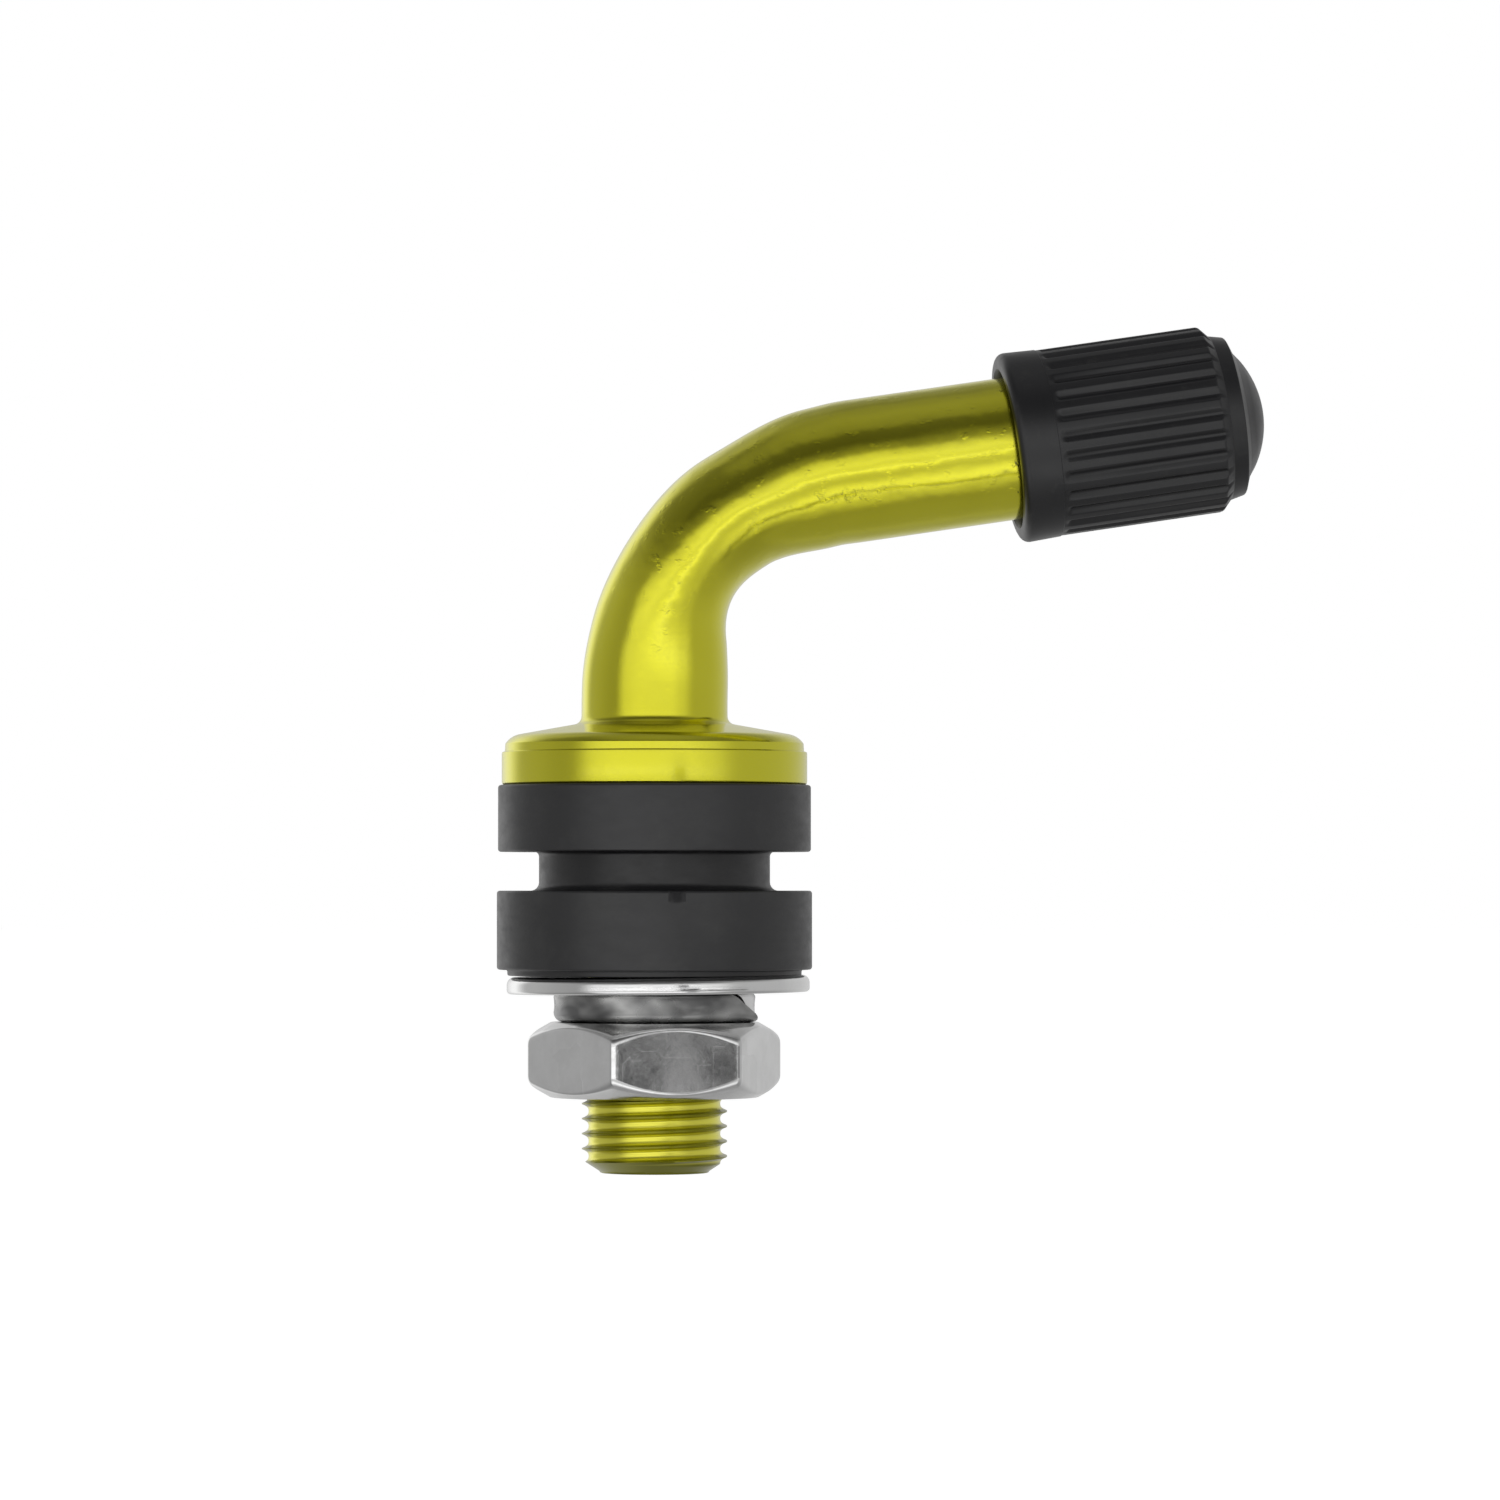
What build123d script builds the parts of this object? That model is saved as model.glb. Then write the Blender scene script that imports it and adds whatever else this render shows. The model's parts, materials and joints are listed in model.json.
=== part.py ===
"""Bent clamp-in tyre valve.

The origin is on the axis of the stem, in the middle of the grommet's groove, where the sheet of
the wheel rim lies. +Z points to the outside of the rim, along the stem, and the bent arm points
to +X. All sizes are in millimetres and degrees. Threads are drawn plain, at their crests.
"""

from build123d import *
from math import cos, pi, radians, sin, tan
import os

# Rubber grommet
groove_height = 2.06
groove_bottom_diameter = 12.25
outer_disc_height = 3.54
outer_disc_overhang = 0.2
inner_disc_height = 4.18
inner_disc_overhang = 0.26
lip_height = 0.32
lip_setback = 0.56
grommet_edge_radius = 0.15
grommet_clearance = 0.03

# Threaded stem
stem_diameter = 7.7
stem_tail = 4.0
stem_end_chamfer_height = 0.68
stem_end_chamfer_depth = 1.05
air_passage_diameter = 3.2
air_mouth_chamfer = 0.4

# Flange that closes the rim's hole from outside
flange_diameter = 16.2
flange_rim_height = 2.52
flange_cone_height = 0.76
flange_edge_radius = 1.15
flange_root_radius = 0.45
neck_length = 0.75

# Bent tube: three arcs that run into each other, and how far bending flattens the tube in the
# plane of the bend and widens it across that plane
tube_diameter = 7.75
lead_in_radius = 35.0
lead_in_angle = 6.5
bend_radius = 8.9
bend_angle = 56.0
lead_out_radius = 18.0
lead_out_angle = 19.0
bend_flattening = 0.18
bend_widening = 0.07
bend_sections = 18

# Straight arm with its threaded nose
arm_diameter = 7.6
arm_shown_length = 8.37
nose_diameter = 7.7
nose_length = 9.73
nose_plain_length = 1.7
nose_end_chamfer = 0.45

# Flat washer
flat_washer_setback = 0.33
flat_washer_bore = 8.3
flat_washer_thickness = 0.93
flat_washer_edge_radius = 0.42
flat_washer_offset = 0.2

# Split lock washer
lock_washer_diameter = 10.7
lock_washer_bore = 8.2
lock_washer_thickness = 1.52
lock_washer_edge_radius = 0.55
split_width = 0.35
split_slant = 60.0
split_direction = -25.5

# Hexagon nut
nut_across_flats = 11.9
nut_height = 3.99
nut_corner_radius = 0.35
nut_face_diameter = 11.0
nut_chamfer_angle = 30.0
nut_bore_chamfer = 0.4
nut_direction = 7.5
thread_clearance = 0.05

# Dust cap
cap_mouth_diameter = 10.2
cap_mouth_radius = 0.45
cap_band_length = 2.1
cap_band_taper = 0.08
cap_rib_diameter = 9.97
cap_rib_count = 28
cap_rib_overrun = 0.2
cap_groove_width = 0.46
cap_groove_depth = 0.28
cap_groove_side_angle = 75.0
cap_shoulder_length = 0.5
cap_collar_diameter = 8.86
cap_collar_length = 0.8
cap_collar_taper = 0.18
cap_collar_chamfer = 0.3
cap_dome_diameter = 6.95
cap_dome_height = 1.3
cap_counterbore_diameter = 8.3
cap_counterbore_depth = 1.6
cap_inner_chamfer = 0.2

# Sealing ring in the cap
seal_thickness = 0.95
seal_hole_diameter = 3.0
seal_side_clearance = 0.15
face_clearance = 0.02

# Core chamber in the arm
core_thread_diameter = 5.2
core_thread_depth = 7.2
core_cone_length = 3.0
core_bore_diameter = 4.1
core_bore_depth = 17.2
core_drill_angle = 59.0
mouth_chamfer = 0.3

# Core plug
plug_depth = 2.2
plug_bridge_height = 1.3
plug_bridge_width = 2.4
plug_bridge_diameter = 4.2
plug_thread_length = 2.6
plug_pin_hole_diameter = 1.6
plug_lip_height = 0.5
swivel_clearance = 0.05

# Core barrel and its tapered gasket
barrel_diameter = 3.5
barrel_neck_diameter = 2.9
barrel_head_height = 0.6
barrel_bore_diameter = 2.3
barrel_length = 9.6
barrel_floor = 0.8
barrel_floor_hole_diameter = 1.7
barrel_collar_height = 1.2
gasket_length = 2.4

# Pin, spring, cup and cup gasket
pin_recess = 0.3
pin_head_diameter = 2.0
pin_head_height = 0.5
pin_head_edge = 0.15
pin_diameter = 0.9
pin_shoulder_diameter = 1.8
pin_shoulder_height = 0.4
pin_shoulder_depth = 7.5
pin_tail = 0.35
cup_diameter = 3.3
cup_wall = 0.3
cup_rim_height = 0.5
cup_gasket_height = 0.9
spring_wire_diameter = 0.26
spring_turns = 7
spring_side_clearance = 0.08

# Heights along the stem, from the groove's middle
flange_seat_z = groove_height / 2 + outer_disc_height
flange_rim_z = flange_seat_z + flange_rim_height
flange_top_z = flange_rim_z + flange_cone_height
bend_start_z = flange_top_z + neck_length
inner_disc_end_z = -groove_height / 2 - inner_disc_height
lip_end_z = inner_disc_end_z - lip_height
flat_washer_end_z = lip_end_z - flat_washer_thickness
lock_washer_end_z = flat_washer_end_z - lock_washer_thickness
nut_end_z = lock_washer_end_z - nut_height
stem_end_z = nut_end_z - stem_tail

# Diameters of the pieces that the flange clamps, which stand out past each other
outer_disc_diameter = flange_diameter + 2 * outer_disc_overhang
inner_disc_diameter = flange_diameter + 2 * inner_disc_overhang
lip_diameter = inner_disc_diameter - 2 * lip_setback
flat_washer_diameter = inner_disc_diameter - 2 * flat_washer_setback

stem_radius = stem_diameter / 2
nose_radius = nose_diameter / 2
arm_length = arm_shown_length + nose_length

# Distances from the cap's mouth to its tip
cap_bore_depth = nose_length + face_clearance + seal_thickness
cap_rib_end = cap_bore_depth + cap_rib_overrun
cap_collar_start = cap_rib_end + cap_shoulder_length
cap_collar_end = cap_collar_start + cap_collar_length
cap_dome_start = cap_collar_end + cap_collar_chamfer
cap_length = cap_dome_start + cap_dome_height
cap_bore_radius = nose_radius + thread_clearance

# Depths in the arm, from the nose's tip inwards
plug_ring_depth = plug_depth + plug_bridge_height
plug_end_depth = plug_ring_depth + plug_thread_length
plug_lip_depth = plug_end_depth - plug_lip_height
barrel_neck_depth = plug_lip_depth - swivel_clearance
barrel_depth = barrel_neck_depth - barrel_head_height
barrel_end_depth = barrel_depth + barrel_length
barrel_floor_depth = barrel_end_depth - barrel_floor
barrel_collar_depth = plug_end_depth + swivel_clearance
gasket_depth = barrel_collar_depth + barrel_collar_height
gasket_end_depth = gasket_depth + gasket_length
cup_gasket_depth = barrel_end_depth + face_clearance
cup_gasket_end_depth = cup_gasket_depth + cup_gasket_height
cup_floor_depth = cup_gasket_end_depth + face_clearance
cup_end_depth = cup_floor_depth + cup_wall
pin_end_depth = cup_end_depth + pin_tail
spring_depth = pin_shoulder_depth + pin_shoulder_height

core_thread_radius = core_thread_diameter / 2 + thread_clearance
core_bore_radius = core_bore_diameter / 2
pin_radius = pin_diameter / 2

os.makedirs("parts", exist_ok=True)


def write(name, piece):
    """Label a finished piece and write it to its own file."""
    piece.part.label = name
    export_step(piece.part, f"parts/{name}.step")


# Middle line of the bend, as three tangent arcs, and the passage that runs on from both its ends
with BuildLine(Plane.XZ) as bend_line:
    lead_in = JernArc((0, bend_start_z), (0, 1), lead_in_radius, -lead_in_angle)
    bend = JernArc(lead_in @ 1, lead_in % 1, bend_radius, -bend_angle)
    lead_out = JernArc(bend @ 1, bend % 1, lead_out_radius, -lead_out_angle)

bent_run = bend_line.wires()[0]
arm_start = lead_out @ 1
arm_direction = lead_out % 1
arm_side = arm_direction.cross(Vector(0, 1, 0))
nose_tip = arm_start + arm_direction * arm_length
cap_mouth = arm_start + arm_direction * arm_shown_length
arm_axis = Axis(arm_start, arm_direction)

with BuildLine(Plane.XZ) as passage_line:
    Line((0, stem_end_z), (0, bend_start_z))
    add(bend_line.line)
    Line(arm_start, nose_tip - arm_direction * core_bore_depth)

# Section planes through the arm's axis. Their x is the distance from that axis, and their y runs
# outwards from the arm's start or the cap's mouth, or inwards from the nose's tip.
arm_section = Plane(origin=arm_start, x_dir=arm_side, z_dir=(0, 1, 0))
cap_section = Plane(origin=cap_mouth, x_dir=arm_side, z_dir=(0, 1, 0))
core_section = Plane(origin=nose_tip, x_dir=arm_side, z_dir=(0, -1, 0))

# Where the bent tube is flattened: the share of the bend's length, and the share of the deepest
# flattening there
flattening_stations = [(0.0, 0.0), (0.06, 0.0), (0.45, 1.0), (0.64, 0.8), (0.9, 0.1), (1.0, 0.0)]


def flattening(travelled):
    """Give the share of the deepest flattening, which eases from each station to the next."""
    for (start, before), (end, after) in zip(flattening_stations, flattening_stations[1:]):
        if travelled <= end:
            return before + (after - before) * (1 - cos(pi * (travelled - start) / (end - start))) / 2
    return 0.0


def bend_section(travelled):
    """Give the plane across the tube at a share of the bend, with x in the plane of the bend."""
    distance = travelled * bent_run.length
    along = bent_run.tangent_at(distance, PositionMode.LENGTH)
    middle = bent_run.position_at(distance, PositionMode.LENGTH)
    return Plane(origin=middle, x_dir=along.cross(Vector(0, 1, 0)), z_dir=along)


def corner(sketch, across, along):
    """Pick a sketch's corner by its place in the sketch's plane."""
    return sketch.vertices().sort_by_distance((across, along))[0]


# Valve body: stem, flange, bent tube and threaded arm in one piece, drilled from both ends
with BuildPart() as valve_body:
    with BuildSketch(Plane.XZ) as stem_outline:
        with BuildLine():
            Polyline(
                (0, stem_end_z),
                (stem_radius - stem_end_chamfer_depth, stem_end_z),
                (stem_radius, stem_end_z + stem_end_chamfer_height),
                (stem_radius, flange_seat_z),
                (flange_diameter / 2, flange_seat_z),
                (flange_diameter / 2, flange_rim_z),
                (tube_diameter / 2, flange_top_z),
                (tube_diameter / 2, bend_start_z),
                (0, bend_start_z),
                close=True,
            )
        make_face()
        fillet(corner(stem_outline, flange_diameter / 2, flange_rim_z), radius=flange_edge_radius)
        fillet(corner(stem_outline, tube_diameter / 2, flange_top_z), radius=flange_root_radius)
    revolve(axis=Axis.Z)
    for step in range(bend_sections + 1):
        travelled = step / bend_sections
        radius = (tube_diameter + (arm_diameter - tube_diameter) * travelled) / 2
        depth = flattening(travelled)
        with BuildSketch(bend_section(travelled)):
            Ellipse(radius * (1 - bend_flattening * depth), radius * (1 + bend_widening * depth))
    loft()
    with BuildSketch(arm_section):
        with BuildLine():
            Polyline(
                (0, 0),
                (arm_diameter / 2, 0),
                (arm_diameter / 2, arm_shown_length + nose_plain_length),
                (nose_radius, arm_shown_length + nose_plain_length),
                (nose_radius, arm_length - nose_end_chamfer),
                (nose_radius - nose_end_chamfer, arm_length),
                (0, arm_length),
                close=True,
            )
        make_face()
    revolve(axis=arm_axis)
    with BuildSketch(Plane.XY.offset(stem_end_z)):
        Circle(air_passage_diameter / 2)
    sweep(path=passage_line.wires()[0], mode=Mode.SUBTRACT)
    drill_tip = (core_bore_diameter - air_passage_diameter) / 2 / tan(radians(core_drill_angle))
    with BuildSketch(core_section):
        with BuildLine():
            Polyline(
                (0, 0),
                (core_thread_radius + mouth_chamfer, 0),
                (core_thread_radius, mouth_chamfer),
                (core_thread_radius, core_thread_depth),
                (core_bore_radius, core_thread_depth + core_cone_length),
                (core_bore_radius, core_bore_depth),
                (air_passage_diameter / 2, core_bore_depth + drill_tip),
                (0, core_bore_depth + drill_tip),
                close=True,
            )
        make_face()
    revolve(axis=arm_axis, mode=Mode.SUBTRACT)
    stem_end_mouth = valve_body.faces().sort_by(Axis.Z)[0].inner_wires()[0]
    chamfer(stem_end_mouth.edges(), length=air_mouth_chamfer)
write("valve_body", valve_body)

# Grommet: a rubber bush whose groove takes the rim's sheet, with a raised lip on its inner end
with BuildPart() as grommet:
    grommet_bore_radius = stem_radius + grommet_clearance
    with BuildSketch(Plane.XZ) as grommet_outline:
        with BuildLine():
            Polyline(
                (grommet_bore_radius, flange_seat_z),
                (outer_disc_diameter / 2, flange_seat_z),
                (outer_disc_diameter / 2, groove_height / 2),
                (groove_bottom_diameter / 2, groove_height / 2),
                (groove_bottom_diameter / 2, -groove_height / 2),
                (inner_disc_diameter / 2, -groove_height / 2),
                (inner_disc_diameter / 2, inner_disc_end_z),
                (lip_diameter / 2, inner_disc_end_z),
                (lip_diameter / 2, lip_end_z),
                (grommet_bore_radius, lip_end_z),
                close=True,
            )
        make_face()
        for disc_diameter, disc_end_z in (
            (outer_disc_diameter, flange_seat_z),
            (outer_disc_diameter, groove_height / 2),
            (inner_disc_diameter, -groove_height / 2),
            (inner_disc_diameter, inner_disc_end_z),
        ):
            fillet(corner(grommet_outline, disc_diameter / 2, disc_end_z), radius=grommet_edge_radius)
    revolve(axis=Axis.Z)
write("grommet", grommet)

# Flat washer: a pressed ring, rolled over at its inner side's edge, a little off centre
with BuildPart() as flat_washer:
    with BuildSketch(Plane.XY.offset(flat_washer_end_z)):
        with Locations((flat_washer_offset, 0)):
            Circle(flat_washer_diameter / 2)
            Circle(flat_washer_bore / 2, mode=Mode.SUBTRACT)
    extrude(amount=flat_washer_thickness)
    lower_circles = flat_washer.edges().filter_by(GeomType.CIRCLE).group_by(Axis.Z)[0]
    fillet(lower_circles.sort_by(SortBy.RADIUS)[-1], radius=flat_washer_edge_radius)
write("flat_washer", flat_washer)

# Lock washer: a ring of spring wire, cut through on a slant
with BuildPart() as lock_washer:
    with BuildSketch(Plane.XY.offset(lock_washer_end_z)):
        Circle(lock_washer_diameter / 2)
        Circle(lock_washer_bore / 2, mode=Mode.SUBTRACT)
    extrude(amount=lock_washer_thickness)
    lower_circles = lock_washer.edges().filter_by(GeomType.CIRCLE).group_by(Axis.Z)[0]
    fillet(lower_circles.sort_by(SortBy.RADIUS)[-1], radius=lock_washer_edge_radius)
    split_angle = radians(split_direction)
    split_plane = Plane(
        origin=(0, 0, lock_washer_end_z + lock_washer_thickness / 2),
        x_dir=(-sin(split_angle), cos(split_angle), 0),
        z_dir=(cos(split_angle), sin(split_angle), 0),
    )
    with BuildSketch(split_plane):
        Rectangle(split_width, lock_washer_thickness / cos(radians(split_slant)) * 2, rotation=split_slant)
    extrude(amount=lock_washer_diameter, mode=Mode.SUBTRACT)
write("lock_washer", lock_washer)

# Hexagon nut: softened corners, both faces turned to a cone, and a countersunk thread
with BuildPart() as hex_nut:
    nut_bore_radius = stem_radius + thread_clearance
    with BuildSketch(Plane.XY.offset(nut_end_z)):
        hexagon = RegularPolygon(
            nut_across_flats / 2, side_count=6, major_radius=False, rotation=nut_direction
        )
        fillet(hexagon.vertices(), radius=nut_corner_radius)
    extrude(amount=nut_height)
    corner_reach = nut_across_flats / 2 / cos(radians(30))
    cone_drop = (corner_reach - nut_face_diameter / 2) * tan(radians(nut_chamfer_angle))
    with BuildSketch(Plane.XZ):
        with BuildLine():
            Polyline(
                (0, nut_end_z),
                (nut_face_diameter / 2, nut_end_z),
                (corner_reach, nut_end_z + cone_drop),
                (corner_reach, lock_washer_end_z - cone_drop),
                (nut_face_diameter / 2, lock_washer_end_z),
                (0, lock_washer_end_z),
                close=True,
            )
        make_face()
    revolve(axis=Axis.Z, mode=Mode.INTERSECT)
    with Locations((0, 0, lock_washer_end_z)):
        Hole(nut_bore_radius, depth=nut_height)
    bore_circles = hex_nut.edges().filter_by(GeomType.CIRCLE).filter_by(
        lambda edge: abs(edge.radius - nut_bore_radius) < thread_clearance / 2
    )
    chamfer(bore_circles, length=nut_bore_chamfer)
write("hex_nut", hex_nut)

# Dust cap: smooth band at the mouth, ribs along the grip, a collar and a domed end
with BuildPart() as dust_cap:
    with BuildSketch(cap_section) as cap_outline:
        with BuildLine():
            Polyline(
                (0, cap_length),
                (0, 0),
                (cap_mouth_diameter / 2, 0),
                (cap_mouth_diameter / 2 - cap_band_taper, cap_band_length),
                (cap_rib_diameter / 2, cap_band_length),
                (cap_rib_diameter / 2, cap_rib_end),
                (cap_collar_diameter / 2, cap_collar_start),
                (cap_collar_diameter / 2 - cap_collar_taper, cap_collar_end),
                (cap_dome_diameter / 2, cap_dome_start),
            )
            TangentArc((0, cap_length), (cap_dome_diameter / 2, cap_dome_start), tangent=(1, 0))
        make_face()
        fillet(corner(cap_outline, cap_mouth_diameter / 2, 0), radius=cap_mouth_radius)
    revolve(axis=arm_axis)
    with BuildSketch(cap_section):
        with BuildLine():
            Polyline(
                (0, 0),
                (cap_counterbore_diameter / 2 + cap_inner_chamfer, 0),
                (cap_counterbore_diameter / 2, cap_inner_chamfer),
                (cap_counterbore_diameter / 2, cap_counterbore_depth),
                (cap_bore_radius, cap_counterbore_depth),
                (cap_bore_radius, cap_bore_depth),
                (0, cap_bore_depth),
                close=True,
            )
        make_face()
    revolve(axis=arm_axis, mode=Mode.SUBTRACT)
    rib_start = cap_mouth + arm_direction * cap_band_length
    with BuildSketch(Plane(origin=rib_start, x_dir=arm_side, z_dir=arm_direction)):
        with PolarLocations(cap_rib_diameter / 2, cap_rib_count):
            Trapezoid(cap_groove_width, 2 * cap_groove_depth, cap_groove_side_angle, rotation=90)
    extrude(amount=cap_collar_start - cap_band_length, mode=Mode.SUBTRACT)
write("dust_cap", dust_cap)

# Sealing ring: lies against the end of the cap's bore and closes on the nose's tip
with BuildPart() as cap_seal:
    seal_plane = Plane(origin=nose_tip + arm_direction * face_clearance, z_dir=arm_direction)
    with BuildSketch(seal_plane):
        Circle(cap_bore_radius - seal_side_clearance)
        Circle(seal_hole_diameter / 2, mode=Mode.SUBTRACT)
    extrude(amount=seal_thickness)
write("cap_seal", cap_seal)

# Core plug: threaded ring with a bridge for the core key, whose lip holds the barrel
with BuildPart() as core_plug:
    with BuildSketch(core_section):
        with BuildLine():
            Polyline(
                (plug_pin_hole_diameter / 2, plug_depth),
                (plug_bridge_diameter / 2, plug_depth),
                (plug_bridge_diameter / 2, plug_ring_depth),
                (core_thread_diameter / 2, plug_ring_depth),
                (core_thread_diameter / 2, plug_end_depth),
                (barrel_neck_diameter / 2 + swivel_clearance, plug_end_depth),
                (barrel_neck_diameter / 2 + swivel_clearance, plug_lip_depth),
                (barrel_diameter / 2 + swivel_clearance, plug_lip_depth),
                (barrel_diameter / 2 + swivel_clearance, barrel_depth - swivel_clearance),
                (plug_pin_hole_diameter / 2, barrel_depth - swivel_clearance),
                close=True,
            )
        make_face()
    revolve(axis=arm_axis)
    bridge_plane = Plane(
        origin=nose_tip - arm_direction * plug_depth, x_dir=arm_side, z_dir=-arm_direction
    )
    with BuildSketch(bridge_plane):
        Circle(plug_bridge_diameter)
        Rectangle(2 * plug_bridge_diameter, plug_bridge_width, mode=Mode.SUBTRACT)
    extrude(amount=plug_bridge_height, mode=Mode.SUBTRACT)
write("core_plug", core_plug)

# Core barrel: swivels in the plug, carries the gasket in a groove and ends in the valve seat
with BuildPart() as core_barrel:
    with BuildSketch(core_section):
        with BuildLine():
            Polyline(
                (barrel_bore_diameter / 2, barrel_depth),
                (barrel_diameter / 2, barrel_depth),
                (barrel_diameter / 2, barrel_neck_depth),
                (barrel_neck_diameter / 2, barrel_neck_depth),
                (barrel_neck_diameter / 2, barrel_collar_depth),
                (barrel_diameter / 2, barrel_collar_depth),
                (barrel_diameter / 2, gasket_depth),
                (barrel_neck_diameter / 2, gasket_depth),
                (barrel_neck_diameter / 2, gasket_end_depth),
                (barrel_diameter / 2, gasket_end_depth),
                (barrel_diameter / 2, barrel_end_depth),
                (barrel_floor_hole_diameter / 2, barrel_end_depth),
                (barrel_floor_hole_diameter / 2, barrel_floor_depth),
                (barrel_bore_diameter / 2, barrel_floor_depth),
                close=True,
            )
        make_face()
    revolve(axis=arm_axis)
write("core_barrel", core_barrel)


def cone_radius(depth):
    """Give the radius of the chamber's sealing cone at a depth."""
    share = (depth - core_thread_depth) / core_cone_length
    return core_thread_radius + (core_bore_radius - core_thread_radius) * share


# Barrel gasket: a tapered ring in the barrel's groove, pressed on the chamber's cone
with BuildPart() as barrel_gasket:
    with BuildSketch(core_section):
        with BuildLine():
            Polyline(
                (barrel_neck_diameter / 2 + face_clearance, gasket_depth + face_clearance),
                (cone_radius(gasket_depth) - face_clearance, gasket_depth + face_clearance),
                (cone_radius(gasket_end_depth) - face_clearance, gasket_end_depth - face_clearance),
                (barrel_neck_diameter / 2 + face_clearance, gasket_end_depth - face_clearance),
                close=True,
            )
        make_face()
    revolve(axis=arm_axis)
write("barrel_gasket", barrel_gasket)

# Core pin: button head at the nose's tip, a pressed shoulder for the spring, a riveted tail
with BuildPart() as core_pin:
    with BuildSketch(core_section) as pin_outline:
        with BuildLine():
            Polyline(
                (0, pin_recess),
                (pin_head_diameter / 2, pin_recess),
                (pin_head_diameter / 2, pin_recess + pin_head_height),
                (pin_radius, pin_recess + pin_head_height),
                (pin_radius, pin_shoulder_depth),
                (pin_shoulder_diameter / 2, pin_shoulder_depth),
                (pin_shoulder_diameter / 2, spring_depth),
                (pin_radius, spring_depth),
                (pin_radius, pin_end_depth),
                (0, pin_end_depth),
                close=True,
            )
        make_face()
        fillet(corner(pin_outline, pin_head_diameter / 2, pin_recess), radius=pin_head_edge)
    revolve(axis=arm_axis)
write("core_pin", core_pin)

# Cup at the pin's inner end
with BuildPart() as core_cup:
    with BuildSketch(core_section):
        with BuildLine():
            Polyline(
                (pin_radius + face_clearance, cup_floor_depth),
                (cup_diameter / 2 - cup_wall, cup_floor_depth),
                (cup_diameter / 2 - cup_wall, cup_floor_depth - cup_rim_height),
                (cup_diameter / 2, cup_floor_depth - cup_rim_height),
                (cup_diameter / 2, cup_end_depth),
                (pin_radius + face_clearance, cup_end_depth),
                close=True,
            )
        make_face()
    revolve(axis=arm_axis)
write("core_cup", core_cup)

# Cup gasket: the rubber ring that closes the barrel's end
with BuildPart() as cup_gasket:
    gasket_plane = Plane(origin=nose_tip - arm_direction * cup_gasket_depth, z_dir=-arm_direction)
    with BuildSketch(gasket_plane):
        Circle(cup_diameter / 2 - cup_wall - face_clearance)
        Circle(pin_radius + face_clearance, mode=Mode.SUBTRACT)
    extrude(amount=cup_gasket_height)
write("cup_gasket", cup_gasket)

# Core spring: stands on the barrel's floor and pushes the pin's shoulder outwards
with BuildPart() as core_spring:
    wire_radius = spring_wire_diameter / 2
    coil_radius = barrel_bore_diameter / 2 - spring_side_clearance - wire_radius
    coil_start = spring_depth + face_clearance + wire_radius
    coil_height = barrel_floor_depth - face_clearance - wire_radius - coil_start
    with BuildLine():
        coil = Helix(
            pitch=coil_height / spring_turns,
            height=coil_height,
            radius=coil_radius,
            center=nose_tip - arm_direction * coil_start,
            direction=-arm_direction,
        )
    with BuildSketch(Plane(origin=coil @ 0, z_dir=coil % 0)):
        Circle(wire_radius)
    sweep(path=coil, is_frenet=True)
write("core_spring", core_spring)
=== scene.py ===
"""A bent clamp-in tyre valve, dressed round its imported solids.

The origin lies on the stem's axis, in the middle of the grommet's groove. +Z runs along the stem,
towards the outside of the rim, and the bent arm points to +X. Pieces are drawn in millimetres and
written in metres.
"""

import json
from math import atan2, cos, pi, radians, sin, sqrt, tan

import bmesh
import bpy
from mathutils import Matrix, Vector


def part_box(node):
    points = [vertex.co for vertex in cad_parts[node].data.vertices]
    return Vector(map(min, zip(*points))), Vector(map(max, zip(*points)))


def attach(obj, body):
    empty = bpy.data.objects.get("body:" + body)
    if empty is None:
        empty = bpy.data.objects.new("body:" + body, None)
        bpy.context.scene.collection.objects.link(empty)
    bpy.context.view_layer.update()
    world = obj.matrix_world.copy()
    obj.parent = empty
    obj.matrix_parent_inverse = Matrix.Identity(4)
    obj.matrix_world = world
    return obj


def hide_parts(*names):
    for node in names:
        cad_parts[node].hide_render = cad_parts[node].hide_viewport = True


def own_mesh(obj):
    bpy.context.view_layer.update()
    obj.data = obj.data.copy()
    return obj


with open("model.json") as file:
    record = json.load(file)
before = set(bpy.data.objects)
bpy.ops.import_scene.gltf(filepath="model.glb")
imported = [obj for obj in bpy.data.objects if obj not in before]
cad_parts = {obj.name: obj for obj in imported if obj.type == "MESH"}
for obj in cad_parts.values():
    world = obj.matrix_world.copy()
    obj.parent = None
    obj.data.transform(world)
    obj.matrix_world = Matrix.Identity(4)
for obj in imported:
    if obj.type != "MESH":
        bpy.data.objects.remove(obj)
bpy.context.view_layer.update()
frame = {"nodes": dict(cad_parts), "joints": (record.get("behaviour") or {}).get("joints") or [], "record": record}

# Valve body: one aluminium bar, turned with its flange and both threads, drilled, bent on a tool
# that flattens the bend a little, and anodised a bright yellow. Everything else sits on it.
mm = 0.001
joints = {joint["name"]: joint for joint in frame["joints"]}
mounts = {mount["name"]: mount for mount in frame["record"]["mounts"]}

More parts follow.
